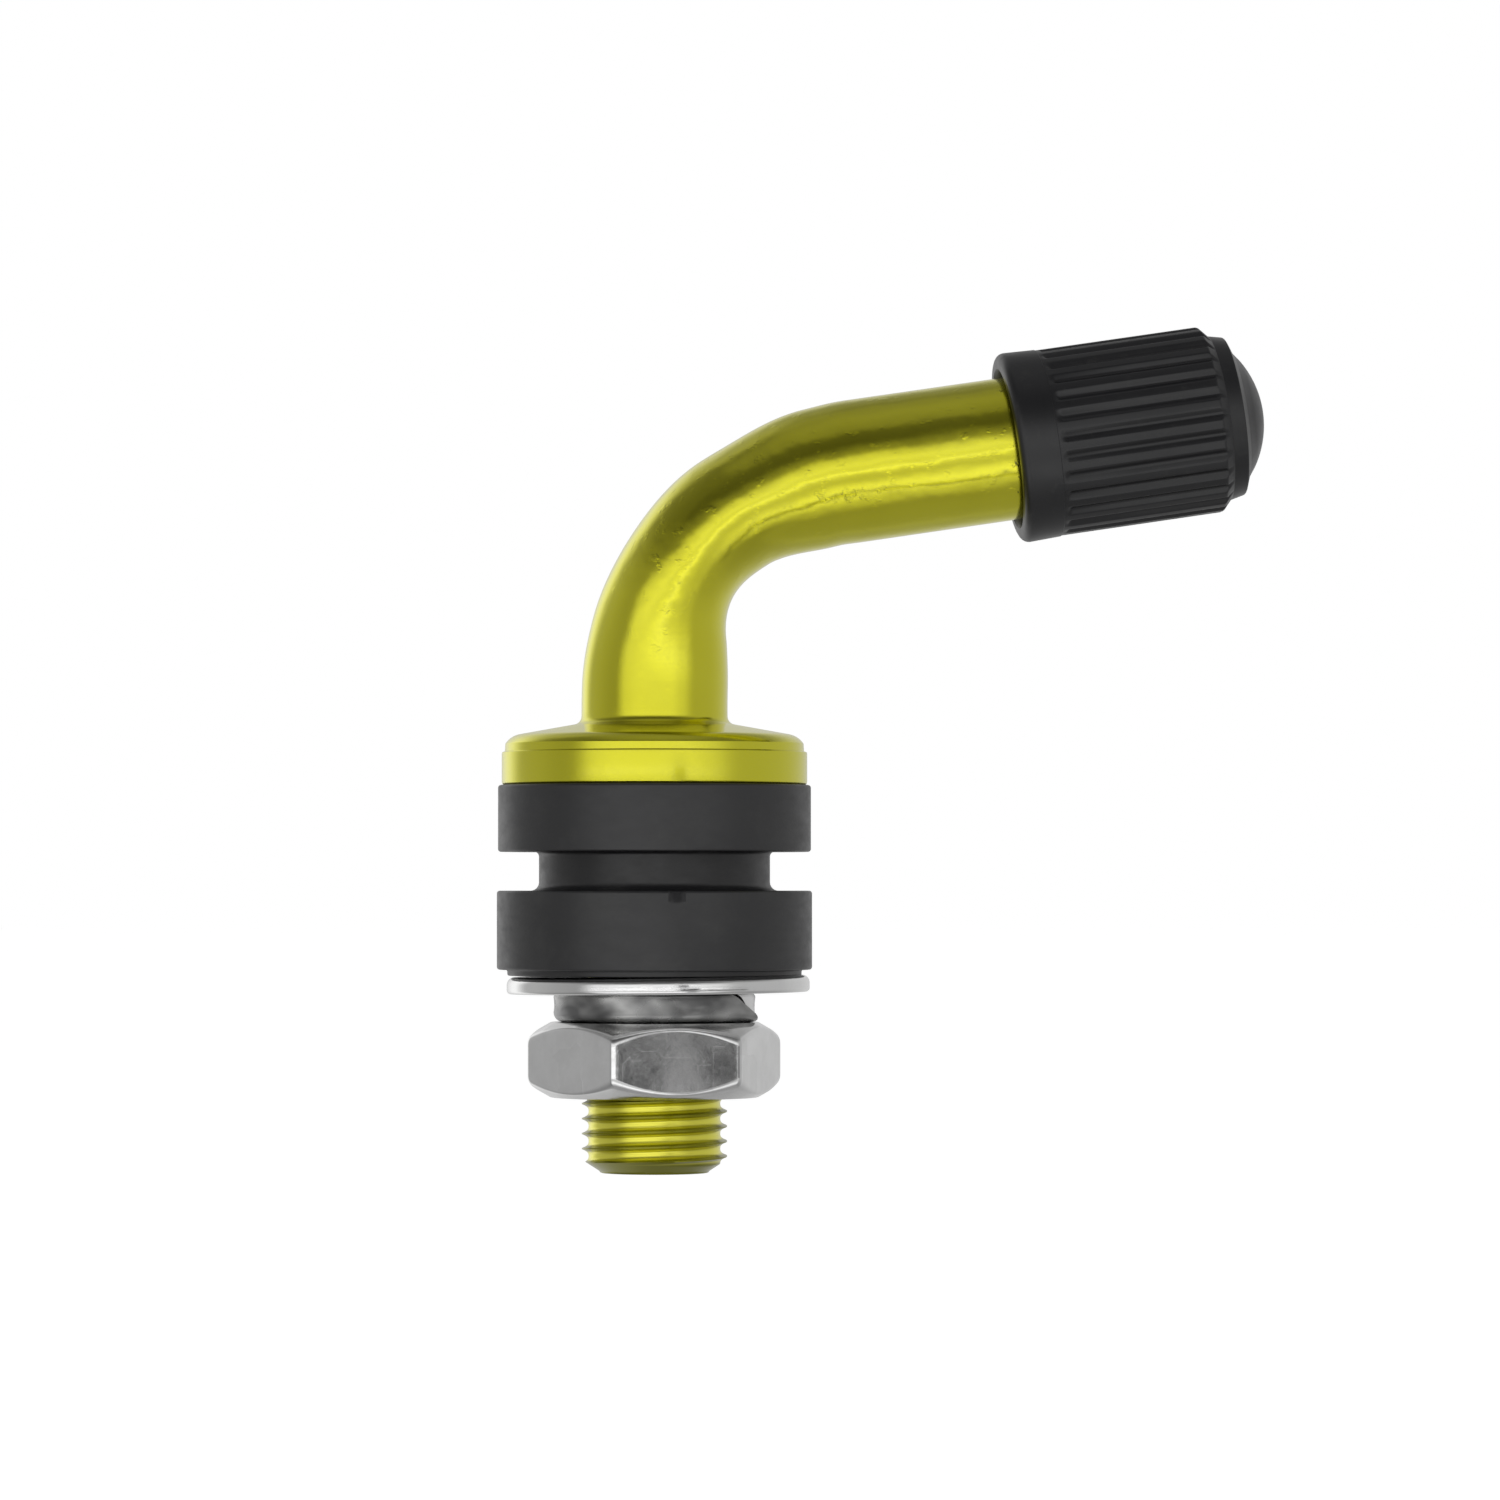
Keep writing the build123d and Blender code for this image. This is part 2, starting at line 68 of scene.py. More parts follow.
body_columns = 160
stem_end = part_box("valve_body")[0].z / mm
stem_face_radius, stem_chamfer_slope = 2.8, 1.54
stem_edge_height, stem_edge_width = 0.10, 0.12
stem_thread_top, stem_thread_run_out = -4.6, 0.36
stem_crest_height = -13.49
flange_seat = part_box("grommet")[1].z / mm
flange_radius, flange_rim_height, flange_cone_height = 8.1, 2.52, 0.76
flange_foot_rounding, flange_rim_rounding, flange_root_rounding = 0.16, 1.15, 0.45
flange_rounding_drop, flange_rounding_steps = 1.4, 48
turned_band_drop, turned_band_radius = 0.74, 7.935
turned_band_lean, turned_shelf_slope = 0.06, 4.0
neck_length = 0.75
tube_radius, arm_radius = 3.875, 3.8
bend_start = flange_seat + flange_rim_height + flange_cone_height + neck_length
bend_arcs = ((35.0, radians(6.5)), (8.9, radians(56.0)), (18.0, radians(19.0)))
bend_length = sum(radius * angle for radius, angle in bend_arcs)
bend_steps = 72
bend_flattening, bend_widening = 0.18, 0.07
flattening_stations = ((0.0, 0.0), (0.06, 0.0), (0.45, 1.0), (0.64, 0.8), (0.9, 0.1), (1.0, 0.0))
nose_plain_length, nose_face_radius = 1.7, 3.35
nose_edge_depth, nose_edge_width = 0.08, 0.05
nose_thread_lead = 0.25

thread_pitch = 25.4 / 32
thread_crest, thread_root = 3.85, 3.49
thread_neck = thread_root - 0.04
thread_hollow, thread_rows = 2.9, 12
weld_gap, thread_weld_gap, shortest_edge = 0.0004, 0.0002, 0.00001
passage_radius, passage_steps = 1.6, 36
passage_mouth_width, passage_mouth_depth = 0.45, 0.4
core_thread_radius, core_thread_groove = 2.65, 2.84
core_thread_pitch = 25.4 / 36
core_thread_depth, core_mouth_depth = 7.2, 0.25
core_cone_length = 3.0
core_bore_radius, core_bore_depth, core_floor_cone = 2.05, 17.2, 0.27
body_tones = (0.78, 0.745, 0.028), (0.83, 0.80, 0.040)
# The thread's two colours: a brighter yellow, a painted highlight for its roots, and a dark olive, painted shade
# for its crests and the stem end's chamfer
thread_highlight_and_shade_tones = (1.0, 0.95, 0.10), (0.25, 0.245, 0.003)


def tube_middle(travelled):
    """Gives the point on the tube's middle line, and how far the tube is turned from upright."""
    point, turned = Vector((0, 0, bend_start)), 0.0
    if travelled > 0:
        for radius, angle in bend_arcs:
            swept = min(travelled / radius, angle)
            point.x += radius * (cos(turned) - cos(turned + swept))
            point.z += radius * (sin(turned + swept) - sin(turned))
            turned += swept
            travelled -= radius * swept
            if swept < angle:
                return point, turned
    return point + travelled * Vector((sin(turned), 0, cos(turned))), turned


def flattening(share):
    """Gives the share of the deepest flattening at a share of the bend's length."""
    for (start, before), (end, after) in zip(flattening_stations, flattening_stations[1:]):
        if share <= end:
            return before + (after - before) * (1 - cos(pi * (share - start) / (end - start))) / 2
    return 0.0


def rounded(corners, steps=6):
    """Gives an outline's (radius, height) points. Each corner has a radius, height and rounding."""
    points = [Vector(corners[0][:2])]
    for before, (radius, height, rounding), after in zip(corners, corners[1:], corners[2:]):
        here = Vector((radius, height))
        if rounding == 0:
            points.append(here)
            continue
        back = (Vector(before[:2]) - here).normalized()
        ahead = (Vector(after[:2]) - here).normalized()
        half = back.angle(ahead) / 2
        middle = here + (back + ahead).normalized() * rounding / sin(half)
        start = here + back * rounding / tan(half) - middle
        end = here + ahead * rounding / tan(half) - middle
        first = atan2(start.y, start.x)
        sweep = (atan2(end.y, end.x) - first + pi) % (2 * pi) - pi
        for step in range(steps + 1):
            angle = first + sweep * step / steps
            points.append(middle + rounding * Vector((cos(angle), sin(angle))))
    points.append(Vector(corners[-1][:2]))
    return points


def add_ring(skin, columns, place):
    """Adds a ring of points to a skin, each placed by its angle."""
    return [skin.verts.new(place(2 * pi * column / columns)) for column in range(columns)]


def join_rings(skin, rings):
    """Lays a band of faces from each ring to the next."""
    for lower, upper in zip(rings, rings[1:]):
        for here in range(len(lower)):
            after = (here + 1) % len(lower)
            skin.faces.new((lower[here], lower[after], upper[after], upper[here]))


def set_up(name, data):
    """Puts a mesh, a lamp or a camera in the scene as an object."""
    thing = bpy.data.objects.new(name, data)
    bpy.context.scene.collection.objects.link(thing)
    return thing


def close_skin(skin, name, finish, place=Matrix(), sharp_angle=38):
    """Welds a skin, turns its faces outwards and makes it a piece, in metres, at its place."""
    bmesh.ops.remove_doubles(skin, verts=skin.verts, dist=weld_gap)
    bmesh.ops.dissolve_degenerate(skin, edges=skin.edges, dist=shortest_edge)
    bmesh.ops.recalc_face_normals(skin, faces=skin.faces)
    mesh = bpy.data.meshes.new(name)
    skin.to_mesh(mesh)
    skin.free()
    mesh.transform(Matrix.Scale(mm, 4) @ place)
    mesh.materials.clear()
    mesh.materials.append(finish)
    mesh.shade_smooth()
    mesh.set_sharp_from_angle(angle=radians(sharp_angle))
    return set_up(name, mesh)


def feed(tree, socket, value):
    """Gives a node's socket its value, or the link that it follows."""
    if isinstance(value, bpy.types.NodeSocket):
        tree.links.new(value, socket)
    else:
        socket.default_value = value


def put(tree, kind, **settings):
    """Adds a node. A setting is one of its properties, or an input as a value or as a link."""
    node = tree.nodes.new(kind)
    for name, value in settings.items():
        if hasattr(node, name):
            setattr(node, name, value)
        else:
            feed(tree, node.inputs[name.replace("_", " ")], value)
    return node


def calc(tree, operation, *values):
    """Adds a sum to a tree and gives its result. A value is a number or a link."""
    node = put(tree, "ShaderNodeMath", operation=operation)
    for socket, value in zip(node.inputs, values):
        feed(tree, socket, value)
    return node.outputs[0]


def split(tree, place):
    """Gives the links to the X, Y and Z of a place."""
    return tuple(put(tree, "ShaderNodeSeparateXYZ", Vector=place).outputs)


def spread(tree, value, low, high, from_low=0.3, from_high=0.7):
    """Spreads a value between two levels."""
    return put(
        tree, "ShaderNodeMapRange", Value=value, From_Min=from_low, From_Max=from_high, To_Min=low,
        To_Max=high,
    ).outputs[0]


def move_points(tree, shape, *place):
    """Moves each point of a shape to the X, Y and Z that three links give."""
    point = put(tree, "ShaderNodeCombineXYZ", **dict(zip("XYZ", place))).outputs[0]
    return put(tree, "GeometryNodeSetPosition", Geometry=shape, Position=point).outputs[0]


def start_tree(name, sizes):
    """Starts a shape tree with a named input for each size, and gives its links by name."""
    kinds = {
        float: "NodeSocketFloat", int: "NodeSocketInt", bool: "NodeSocketBool", None: "NodeSocketMaterial",
    }
    tree = bpy.data.node_groups.new(name, "GeometryNodeTree")
    tree.interface.new_socket("Geometry", in_out="INPUT", socket_type="NodeSocketGeometry")
    tree.interface.new_socket("Geometry", in_out="OUTPUT", socket_type="NodeSocketGeometry")
    for size, kind in sizes.items():
        tree.interface.new_socket(size, in_out="INPUT", socket_type=kinds[kind])
    start = tree.nodes.new("NodeGroupInput")
    return tree, {socket.name: socket for socket in start.outputs}


def end_tree(tree, shape, finish):
    """Ends a shape tree in real geometry with its finish."""
    real = put(tree, "GeometryNodeRealizeInstances", Geometry=shape).outputs[0]
    finished = put(tree, "GeometryNodeSetMaterial", Geometry=real, Material=finish).outputs[0]
    feed(tree, tree.nodes.new("NodeGroupOutput").inputs[0], finished)


def run_tree(tree, sizes, start_mesh=None):
    """Runs a shape tree, on a mesh where it needs one, and gives the result as a plain mesh."""
    blank = set_up("blank", start_mesh or bpy.data.meshes.new("blank"))
    work = blank.modifiers.new("work", "NODES")
    work.node_group = tree
    for socket in tree.interface.items_tree:
        if socket.in_out == "INPUT" and socket.name in sizes:
            work[socket.identifier] = sizes[socket.name]
    seen = blank.evaluated_get(bpy.context.evaluated_depsgraph_get())
    result = bpy.data.meshes.new_from_object(seen)
    blank.modifiers.remove(work)
    bpy.data.objects.remove(blank)
    return result


# The thread tree cuts one screw thread as a grid of rows that climb with the helix. Its first and
# last rows lie in plain circles, so that it can be welded to the turned skin on both sides.
thread_tree, given = start_tree("cut_thread", {
    "Columns": int, "Rows": int, "Crest": float, "Root": float, "Pitch": float, "Crest Height": float,
    "Start": float, "End": float, "Start Radius": float, "End Radius": float,
    "Start Slope": float, "End Slope": float, "Inside": bool, "Finish": None,
})
tree = thread_tree
row_step = calc(tree, "DIVIDE", given["Pitch"], given["Rows"])
below = calc(tree, "SUBTRACT", calc(tree, "SUBTRACT", given["Start"], given["Pitch"]), given["Crest Height"])
below = calc(tree, "SUBTRACT", calc(tree, "FLOOR", calc(tree, "DIVIDE", below, row_step)), 0.5)
first_row = calc(tree, "MULTIPLY_ADD", below, row_step, given["Crest Height"])
reach = calc(tree, "SUBTRACT", given["End"], given["Start"])
reach = calc(tree, "MULTIPLY_ADD", given["Pitch"], 2.0, reach)
row_count = calc(tree, "ADD", calc(tree, "CEIL", calc(tree, "DIVIDE", reach, row_step)), 2.0)
grid = put(
    tree, "GeometryNodeMeshGrid", Size_X=1.0, Size_Y=1.0,
    Vertices_X=calc(tree, "ADD", given["Columns"], 1.0), Vertices_Y=row_count,
).outputs["Mesh"]
x, y, z = split(tree, put(tree, "GeometryNodeInputPosition").outputs[0])
turn = calc(tree, "ADD", x, 0.5)
row = calc(tree, "MULTIPLY", calc(tree, "ADD", y, 0.5), calc(tree, "SUBTRACT", row_count, 1.0))
climb = calc(tree, "MULTIPLY_ADD", calc(tree, "ROUND", row), row_step, first_row)
height = calc(tree, "MULTIPLY_ADD", turn, given["Pitch"], climb)
height = calc(tree, "MINIMUM", calc(tree, "MAXIMUM", height, given["Start"]), given["End"])
phase = calc(tree, "DIVIDE", calc(tree, "SUBTRACT", climb, given["Crest Height"]), given["Pitch"])
from_root = calc(tree, "ABSOLUTE", calc(tree, "MULTIPLY_ADD", calc(tree, "FRACT", phase), 2.0, -1.0))
crest_start = calc(tree, "SUBTRACT", 1.0, calc(tree, "DIVIDE", 1.0, given["Rows"]))
flank = calc(tree, "MINIMUM", calc(tree, "DIVIDE", from_root, crest_start), 1.0)
depth = calc(tree, "SUBTRACT", given["Crest"], given["Root"])
cut = calc(tree, "MULTIPLY_ADD", calc(tree, "POWER", flank, thread_hollow), depth, given["Root"])
from_start = calc(tree, "MULTIPLY", calc(tree, "SUBTRACT", height, given["Start"]), given["Start Slope"])
from_end = calc(tree, "MULTIPLY", calc(tree, "SUBTRACT", given["End"], height), given["End Slope"])
sides = [given["Inside"]]
for nearer, away in (("MINIMUM", "ADD"), ("MAXIMUM", "SUBTRACT")):
    by_start = calc(tree, away, given["Start Radius"], from_start)
    by_end = calc(tree, away, given["End Radius"], from_end)
    sides.append(calc(tree, nearer, calc(tree, nearer, cut, by_start), by_end))
side = put(tree, "GeometryNodeSwitch", input_type="FLOAT")
for socket, link in zip(side.inputs, sides):
    feed(tree, socket, link)
angle = calc(tree, "MULTIPLY", turn, 2 * pi)
across = [calc(tree, "MULTIPLY", side.outputs[0], calc(tree, wave, angle)) for wave in ("COSINE", "SINE")]
wound = move_points(tree, grid, *across, height)
welded = put(tree, "GeometryNodeMergeByDistance", Geometry=wound, Distance=thread_weld_gap).outputs[0]
end_tree(tree, welded, given["Finish"])


def cut_thread(skin, finish, place=Matrix(), **sizes):
    """Adds a thread, cut by the thread tree, to a skin. Its ends slope evenly if nothing else is said."""
    sizes = {"pitch": thread_pitch, "start_slope": 1.0, "end_slope": 1.0, "inside": False, **sizes}
    named = {name.replace("_", " ").title(): value for name, value in sizes.items()}
    mesh = run_tree(thread_tree, {**named, "Finish": finish})
    mesh.transform(place)
    skin.from_mesh(mesh)
    bpy.data.meshes.remove(mesh)


def set_looks(tree, **looks):
    """Sets sockets of a finish's shader. A look is a value or a link."""
    for look, value in looks.items():
        feed(tree, tree.nodes["Principled BSDF"].inputs[look.replace("_", " ")], value)


def start_finish(name, **looks):
    """Starts a finish, and gives its material, its tree and the place on the piece."""
    material = bpy.data.materials.new(name)
    material.use_nodes = True
    tree = material.node_tree
    set_looks(tree, **looks)
    return material, tree, put(tree, "ShaderNodeTexCoord").outputs["Object"]


def speckle(tree, place, per_metre, detail=3.0, roughness=0.55, stretch=None, turned=(0, 0, 0)):
    """Gives a noise of so many cells to the metre, stretched or turned where the finish needs it."""
    if stretch:
        place = put(tree, "ShaderNodeMapping", Vector=place, Scale=stretch, Rotation=turned).outputs[0]
    noise = put(tree, "ShaderNodeTexNoise", Vector=place, Scale=per_metre, Detail=detail, Roughness=roughness)
    return noise.outputs[0]


def mixed(tree, share, one, other):
    """Mixes two colours by a share. A colour is three numbers or a link."""
    node = put(tree, "ShaderNodeMix", data_type="RGBA")
    for index, value in ((0, share), (6, one), (7, other)):
        feed(tree, node.inputs[index], (*value, 1.0) if isinstance(value, tuple) else value)
    return node.outputs[2]


def relief(tree, *layers):
    """Lays bumps over each other. A layer is a height and its distance in metres."""
    normal = None
    for height, distance in layers:
        bump = put(tree, "ShaderNodeBump", Height=height, Distance=distance)
        if normal:
            feed(tree, bump.inputs["Normal"], normal)
        normal = bump.outputs[0]
    set_looks(tree, Normal=normal)


yellow, tree, place = start_finish("yellow_anodising", Metallic=1.0, Coat_Weight=0.5, Coat_Roughness=0.06)
cloud = speckle(tree, place, 160.0, 2.0)
grain = speckle(tree, place, 5200.0, 3.0)
x, y, z = split(tree, place)
on_bend = spread(tree, z, 0.15, 1.0, 0.010, 0.016)
dents = calc(tree, "MULTIPLY", speckle(tree, place, 360.0, 2.5, 0.5), on_bend)
nicks = calc(tree, "MULTIPLY", spread(tree, speckle(tree, place, 1500.0, 3.0), 0.0, 1.0, 0.6, 0.72), on_bend)
tone = mixed(tree, spread(tree, cloud, 0.0, 1.0), *body_tones)
# Painted shade and highlight on the stem thread: its crests are painted dark olive and its roots a brighter
# yellow, following the helix
helix = calc(tree, "DIVIDE", calc(tree, "ARCTAN2", y, x), -2 * pi)
helix = calc(tree, "MULTIPLY_ADD", z, 1 / (thread_pitch * mm), helix)
phase = calc(tree, "FRACT", calc(tree, "SUBTRACT", helix, stem_crest_height / thread_pitch))
from_root = calc(tree, "ABSOLUTE", calc(tree, "MULTIPLY_ADD", phase, 2.0, -1.0))
crest_shade = spread(tree, from_root, 0.0, 1.0, 0.48, 0.74)
# Painted shade: the downward chamfer at the stem end is painted the thread's dark olive
by_end = spread(tree, z, 1.0, 0.0, (stem_end + 0.5) * mm, (stem_end + 0.7) * mm)
thread_shade_and_highlight = mixed(tree, calc(tree, "MAXIMUM", crest_shade, by_end), *thread_highlight_and_shade_tones)
on_thread = spread(tree, z, 1.0, 0.0, (stem_thread_top - 0.1) * mm, stem_thread_top * mm)
rough = calc(tree, "ADD", spread(tree, cloud, 0.13, 0.17), spread(tree, grain, 0.0, 0.04))
rough = calc(tree, "ADD", rough, spread(tree, z, 0.06, 0.0, (bend_start - 0.3) * mm, bend_start * mm))
rough = calc(tree, "MULTIPLY_ADD", on_thread, 0.08, rough)
set_looks(tree, Base_Color=mixed(tree, on_thread, tone, thread_shade_and_highlight), Roughness=rough)
relief(tree, (dents, 9e-5), (nicks, 9e-6), (grain, 1.2e-6))

nose_tip = Vector(mounts["pump_thread"]["pos_m"]) / mm
arm_direction = Vector(mounts["pump_thread"]["axis"])
arm_start = tube_middle(bend_length)[0]
arm_length = (nose_tip - arm_start).dot(arm_direction)
arm_shown = (Vector(joints["cap_turn"]["pos_m"]) / mm - arm_start).dot(arm_direction)
arm_across = Vector((arm_direction.z, 0, -arm_direction.x))
on_arm = Matrix.Translation(arm_start) @ Matrix((arm_across, (0, 1, 0), arm_direction)).transposed().to_4x4()
nose_thread_start = arm_shown + nose_plain_length + nose_thread_lead


def tube_ring(skin, travelled, radius, squeeze=0.0):
    """Adds a ring round the tube's middle line, flattened in the plane of the bend."""
    middle, turned = tube_middle(travelled)
    across = Vector((cos(turned), 0, -sin(turned))) * radius * (1 - bend_flattening * squeeze)
    side = Vector((0, 1, 0)) * radius * (1 + bend_widening * squeeze)
    return add_ring(skin, body_columns, lambda angle: middle + across * cos(angle) + side * sin(angle))


body = bmesh.new()
tip = bend_length + arm_length
stem_foot = stem_end - bend_start
bore_rings = [
    (stem_foot + stem_edge_height, stem_face_radius + stem_edge_width),
    (stem_foot + 0.03, stem_face_radius + 0.08), (stem_foot, stem_face_radius),
    (stem_foot, passage_radius + passage_mouth_width), (stem_foot + 0.05, passage_radius + 0.38),
    (stem_foot + passage_mouth_depth, passage_radius), (stem_foot / 2, passage_radius),
]
bore_rings += [(bend_length * step / passage_steps, passage_radius) for step in range(passage_steps + 1)]
bore_rings += [
    (tip - core_bore_depth - core_floor_cone, passage_radius), (tip - core_bore_depth, core_bore_radius),
    (tip - core_thread_depth - core_cone_length, core_bore_radius),
    (tip - core_thread_depth, core_thread_groove),
]
join_rings(body, [tube_ring(body, *spot) for spot in bore_rings])
cut_thread(
    body, yellow, on_arm, columns=body_columns, rows=8, crest=core_thread_groove, root=core_thread_radius,
    pitch=core_thread_pitch, crest_height=0.0, start=arm_length - core_thread_depth,
    end=arm_length - core_mouth_depth, start_radius=core_thread_groove, end_radius=core_thread_groove,
    inside=True,
)
mouth_rings = [
    (tip - core_mouth_depth, core_thread_groove), (tip - 0.04, core_thread_groove + 0.16),
    (tip, core_thread_groove + 0.22), (tip, nose_face_radius - 0.08), (tip - 0.03, nose_face_radius),
    (tip - nose_edge_depth, nose_face_radius + nose_edge_width),
]
join_rings(body, [tube_ring(body, *spot) for spot in mouth_rings])
cut_thread(
    body, yellow, on_arm, columns=body_columns, rows=thread_rows, crest=thread_crest, root=thread_root,
    crest_height=0.0, start=nose_thread_start, end=arm_length - nose_edge_depth,
    start_radius=thread_neck, end_radius=nose_face_radius + nose_edge_width,
)
cut_thread(
    body, yellow, columns=body_columns, rows=thread_rows, crest=thread_crest, root=thread_root,
    crest_height=stem_crest_height, start=stem_end + stem_edge_height, end=stem_thread_top,
    start_radius=stem_face_radius + stem_edge_width, end_radius=thread_root,
    start_slope=stem_chamfer_slope,
)
flange_rim = flange_seat + flange_rim_height
flange_top = flange_rim + flange_cone_height
flange_shoulder = (flange_radius, flange_rim - flange_rounding_drop, 0)
flange_outline = rounded((
    (thread_root, stem_thread_top, 0), (thread_crest, stem_thread_top + stem_thread_run_out, 0),
    (thread_crest, flange_seat, 0), (flange_radius, flange_seat, flange_foot_rounding), flange_shoulder,
))
flange_outline += rounded((
    flange_shoulder, (flange_radius, flange_rim, flange_rim_rounding), (tube_radius, flange_top),
), flange_rounding_steps)[1:-1]
flange_outline += rounded((
    (flange_radius, flange_rim), (tube_radius, flange_top, flange_root_rounding), (tube_radius, bend_start),
))[1:]
for spot in flange_outline:
    rise = spot.y - flange_rim + turned_band_drop
    spot.x = min(spot.x, turned_band_radius - rise * (turned_band_lean if rise > 0 else turned_shelf_slope))
skin_rings = [tube_ring(body, height - bend_start, radius) for radius, height in flange_outline]
for step in range(1, bend_steps + 1):
    share = step / bend_steps
    radius = tube_radius + (arm_radius - tube_radius) * share
    skin_rings.append(tube_ring(body, bend_length * share, radius, flattening(share)))
nose_start = bend_length + arm_shown + nose_plain_length
skin_rings += [tube_ring(body, *spot) for spot in (
    (bend_length + arm_shown / 2, arm_radius), (nose_start - 0.12, arm_radius),
    (nose_start, arm_radius - 0.1), (nose_start, thread_neck),
    (bend_length + nose_thread_start, thread_neck),
)]
join_rings(body, skin_rings)
piece = close_skin(body, "yellow_body", yellow)
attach(piece, "valve")
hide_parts("valve_body")

# Grommet: a black rubber bush, moulded in one piece. Its groove grips the sheet of the rim, and the
# raised lip on its inner end seals on the flat washer.
groove_height, groove_radius = 2.06, 6.125
groove_foot_rounding, groove_top_rounding = 0.45, 0.25
outer_disc_radius, inner_disc_radius = 8.295, 8.355
inner_disc_end = -5.21
lip_radius, lip_rounding, lip_root_rounding = 7.8, 0.1, 0.12
rubber_edge = 0.15
grommet_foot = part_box("grommet")[0].z / mm
grommet_bore = 3.88
grommet_columns = 288
notch_direction = radians(-85.6)
notch_half_width, notch_height, notch_depth = 0.36, 0.5, 0.3
notch_reach, notch_lean, notch_edge = 1.3, 0.9, 0.3
notch_rows = (-2.0, -1.75, -1.6)
rubber_tones = (0.012, 0.012, 0.013), (0.021, 0.021, 0.021)

rubber, tree, place = start_finish("black_rubber", Specular_IOR_Level=0.7)
dust = spread(tree, speckle(tree, place, 420.0, 5.0, 0.65), 0.0, 1.0, 0.5, 0.75)
grain = speckle(tree, place, 6500.0, 2.0)
swirl = speckle(tree, place, 700.0, 3.0, 0.6, stretch=(1.0, 1.0, 2.5))
rough = calc(tree, "ADD", spread(tree, swirl, 0.34, 0.44), calc(tree, "MULTIPLY", dust, 0.10))
set_looks(tree, Base_Color=mixed(tree, dust, *rubber_tones), Roughness=rough)
relief(tree, (swirl, 1.6e-5), (grain, 3e-6))


def about_axis(radius, angle, height):
    """Gives the point at a radius and an angle about the upright axis, at a height."""
    return Vector((radius * cos(angle), radius * sin(angle), height))


def even_ring(skin, columns, radius, height, start=0.0):
    """Adds a ring about the upright axis, with even columns from a starting angle."""
    return add_ring(skin, columns, lambda angle: about_axis(radius, start + angle, height))


def turn_outline(skin, outline, columns):
    """Turns a closed outline of (radius, height) points about the upright axis."""
    rings = [even_ring(skin, columns, radius, height) for radius, height in outline]
    join_rings(skin, rings + rings[:1])


bush = bmesh.new()
turn_outline(bush, rounded((
    (grommet_bore, grommet_foot, 0), (lip_radius, grommet_foot, lip_rounding),
    (lip_radius, inner_disc_end, lip_root_rounding), (inner_disc_radius, inner_disc_end, rubber_edge),
    *((inner_disc_radius, height, 0) for height in notch_rows),
    (inner_disc_radius, -groove_height / 2, rubber_edge),
    (groove_radius, -groove_height / 2, groove_foot_rounding),
    (groove_radius, groove_height / 2, groove_top_rounding),
    (outer_disc_radius, groove_height / 2, rubber_edge), (outer_disc_radius, flange_seat, rubber_edge),
    (grommet_bore, flange_seat, 0),
)), grommet_columns)
for vertex in bush.verts:
    across = abs(atan2(vertex.co.y, vertex.co.x) - notch_direction) * inner_disc_radius / notch_half_width
    down = (-groove_height / 2 - vertex.co.z) / notch_height
    if across < notch_reach and -0.1 < down < notch_reach and vertex.co.xy.length > inner_disc_radius - 0.5:
        sideways = min(1.0, max(0.0, (notch_reach - across - notch_lean * down) / notch_edge))
        downwards = min(1.0, max(0.0, (notch_reach - down) / notch_edge))
        vertex.co.xy *= 1 - sideways * downwards * notch_depth / vertex.co.xy.length
piece = close_skin(bush, "rubber_grommet", rubber)
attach(piece, "valve")
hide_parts("grommet")

# Flat washer: punched from bright nickel-plated steel sheet, which rounds its upper edge. It lies a
# little off centre and not quite level on the rubber lip.
low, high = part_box("flat_washer")
washer_foot, washer_top, washer_centre = low.z / mm, high.z / mm, (low.x + high.x) / 2 / mm
washer_radius, washer_bore = 8.03, 4.15
washer_foot_rounding, washer_top_rounding = 0.2, 0.4
washer_slack = 0.02
washer_tilt = radians(0.5)
washer_columns = 256
washer_tones = (0.86, 0.86, 0.86), (0.93, 0.93, 0.92)

bright_plate, tree, place = start_finish("bright_plate", Metallic=1.0)
cloud = speckle(tree, place, 350.0, 3.0)
scratch = spread(tree, speckle(tree, place, 900.0, 4.0, 0.7, stretch=(1.0, 1.0, 9.0)), 0.0, 1.0, 0.5, 0.72)
grain = speckle(tree, place, 7000.0, 2.0)
rough = calc(tree, "ADD", spread(tree, cloud, 0.08, 0.12), calc(tree, "MULTIPLY", scratch, 0.05))
set_looks(tree, Base_Color=mixed(tree, spread(tree, cloud, 0.0, 1.0), *washer_tones), Roughness=rough)
relief(tree, (cloud, 8e-6), (scratch, -2e-6), (grain, 1e-6))

ring = bmesh.new()
half_height = (washer_top - washer_foot) / 2 - washer_slack
seam = (washer_bore + 0.2, -half_height, 0)
turn_outline(ring, rounded((
    seam, (washer_radius, -half_height, washer_foot_rounding),
    (washer_radius, half_height, washer_top_rounding),
    (washer_bore, half_height, 0.08), (washer_bore, -half_height, 0.15), seam,
))[:-1], washer_columns)
level = Matrix.Translation((washer_centre, 0, (washer_top + washer_foot) / 2))
piece = close_skin(ring, "bright_washer", bright_plate, level @ Matrix.Rotation(-washer_tilt, 4, "Y"))
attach(piece, "washers")
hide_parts("flat_washer")

# Lock washer: a ring of hard steel wire with a dull zinc plate, rolled up and cut through on a slant.
# One cut end is sharp and stands out a little.
coil_foot, coil_top = (corner.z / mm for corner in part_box("lock_washer"))
coil_middle = (coil_top + coil_foot) / 2
coil_radius, coil_bore = 5.35, 4.1
coil_foot_rounding, coil_top_rounding, coil_bore_rounding = 0.5, 0.22, 0.12
coil_steps = 220
split_direction = radians(-25.5)
split_half_width = radians(3.5)
split_shear = tan(radians(60.0)) / coil_radius
flare, flare_length = 0.5, radians(26.0)
end_set_in = 0.12
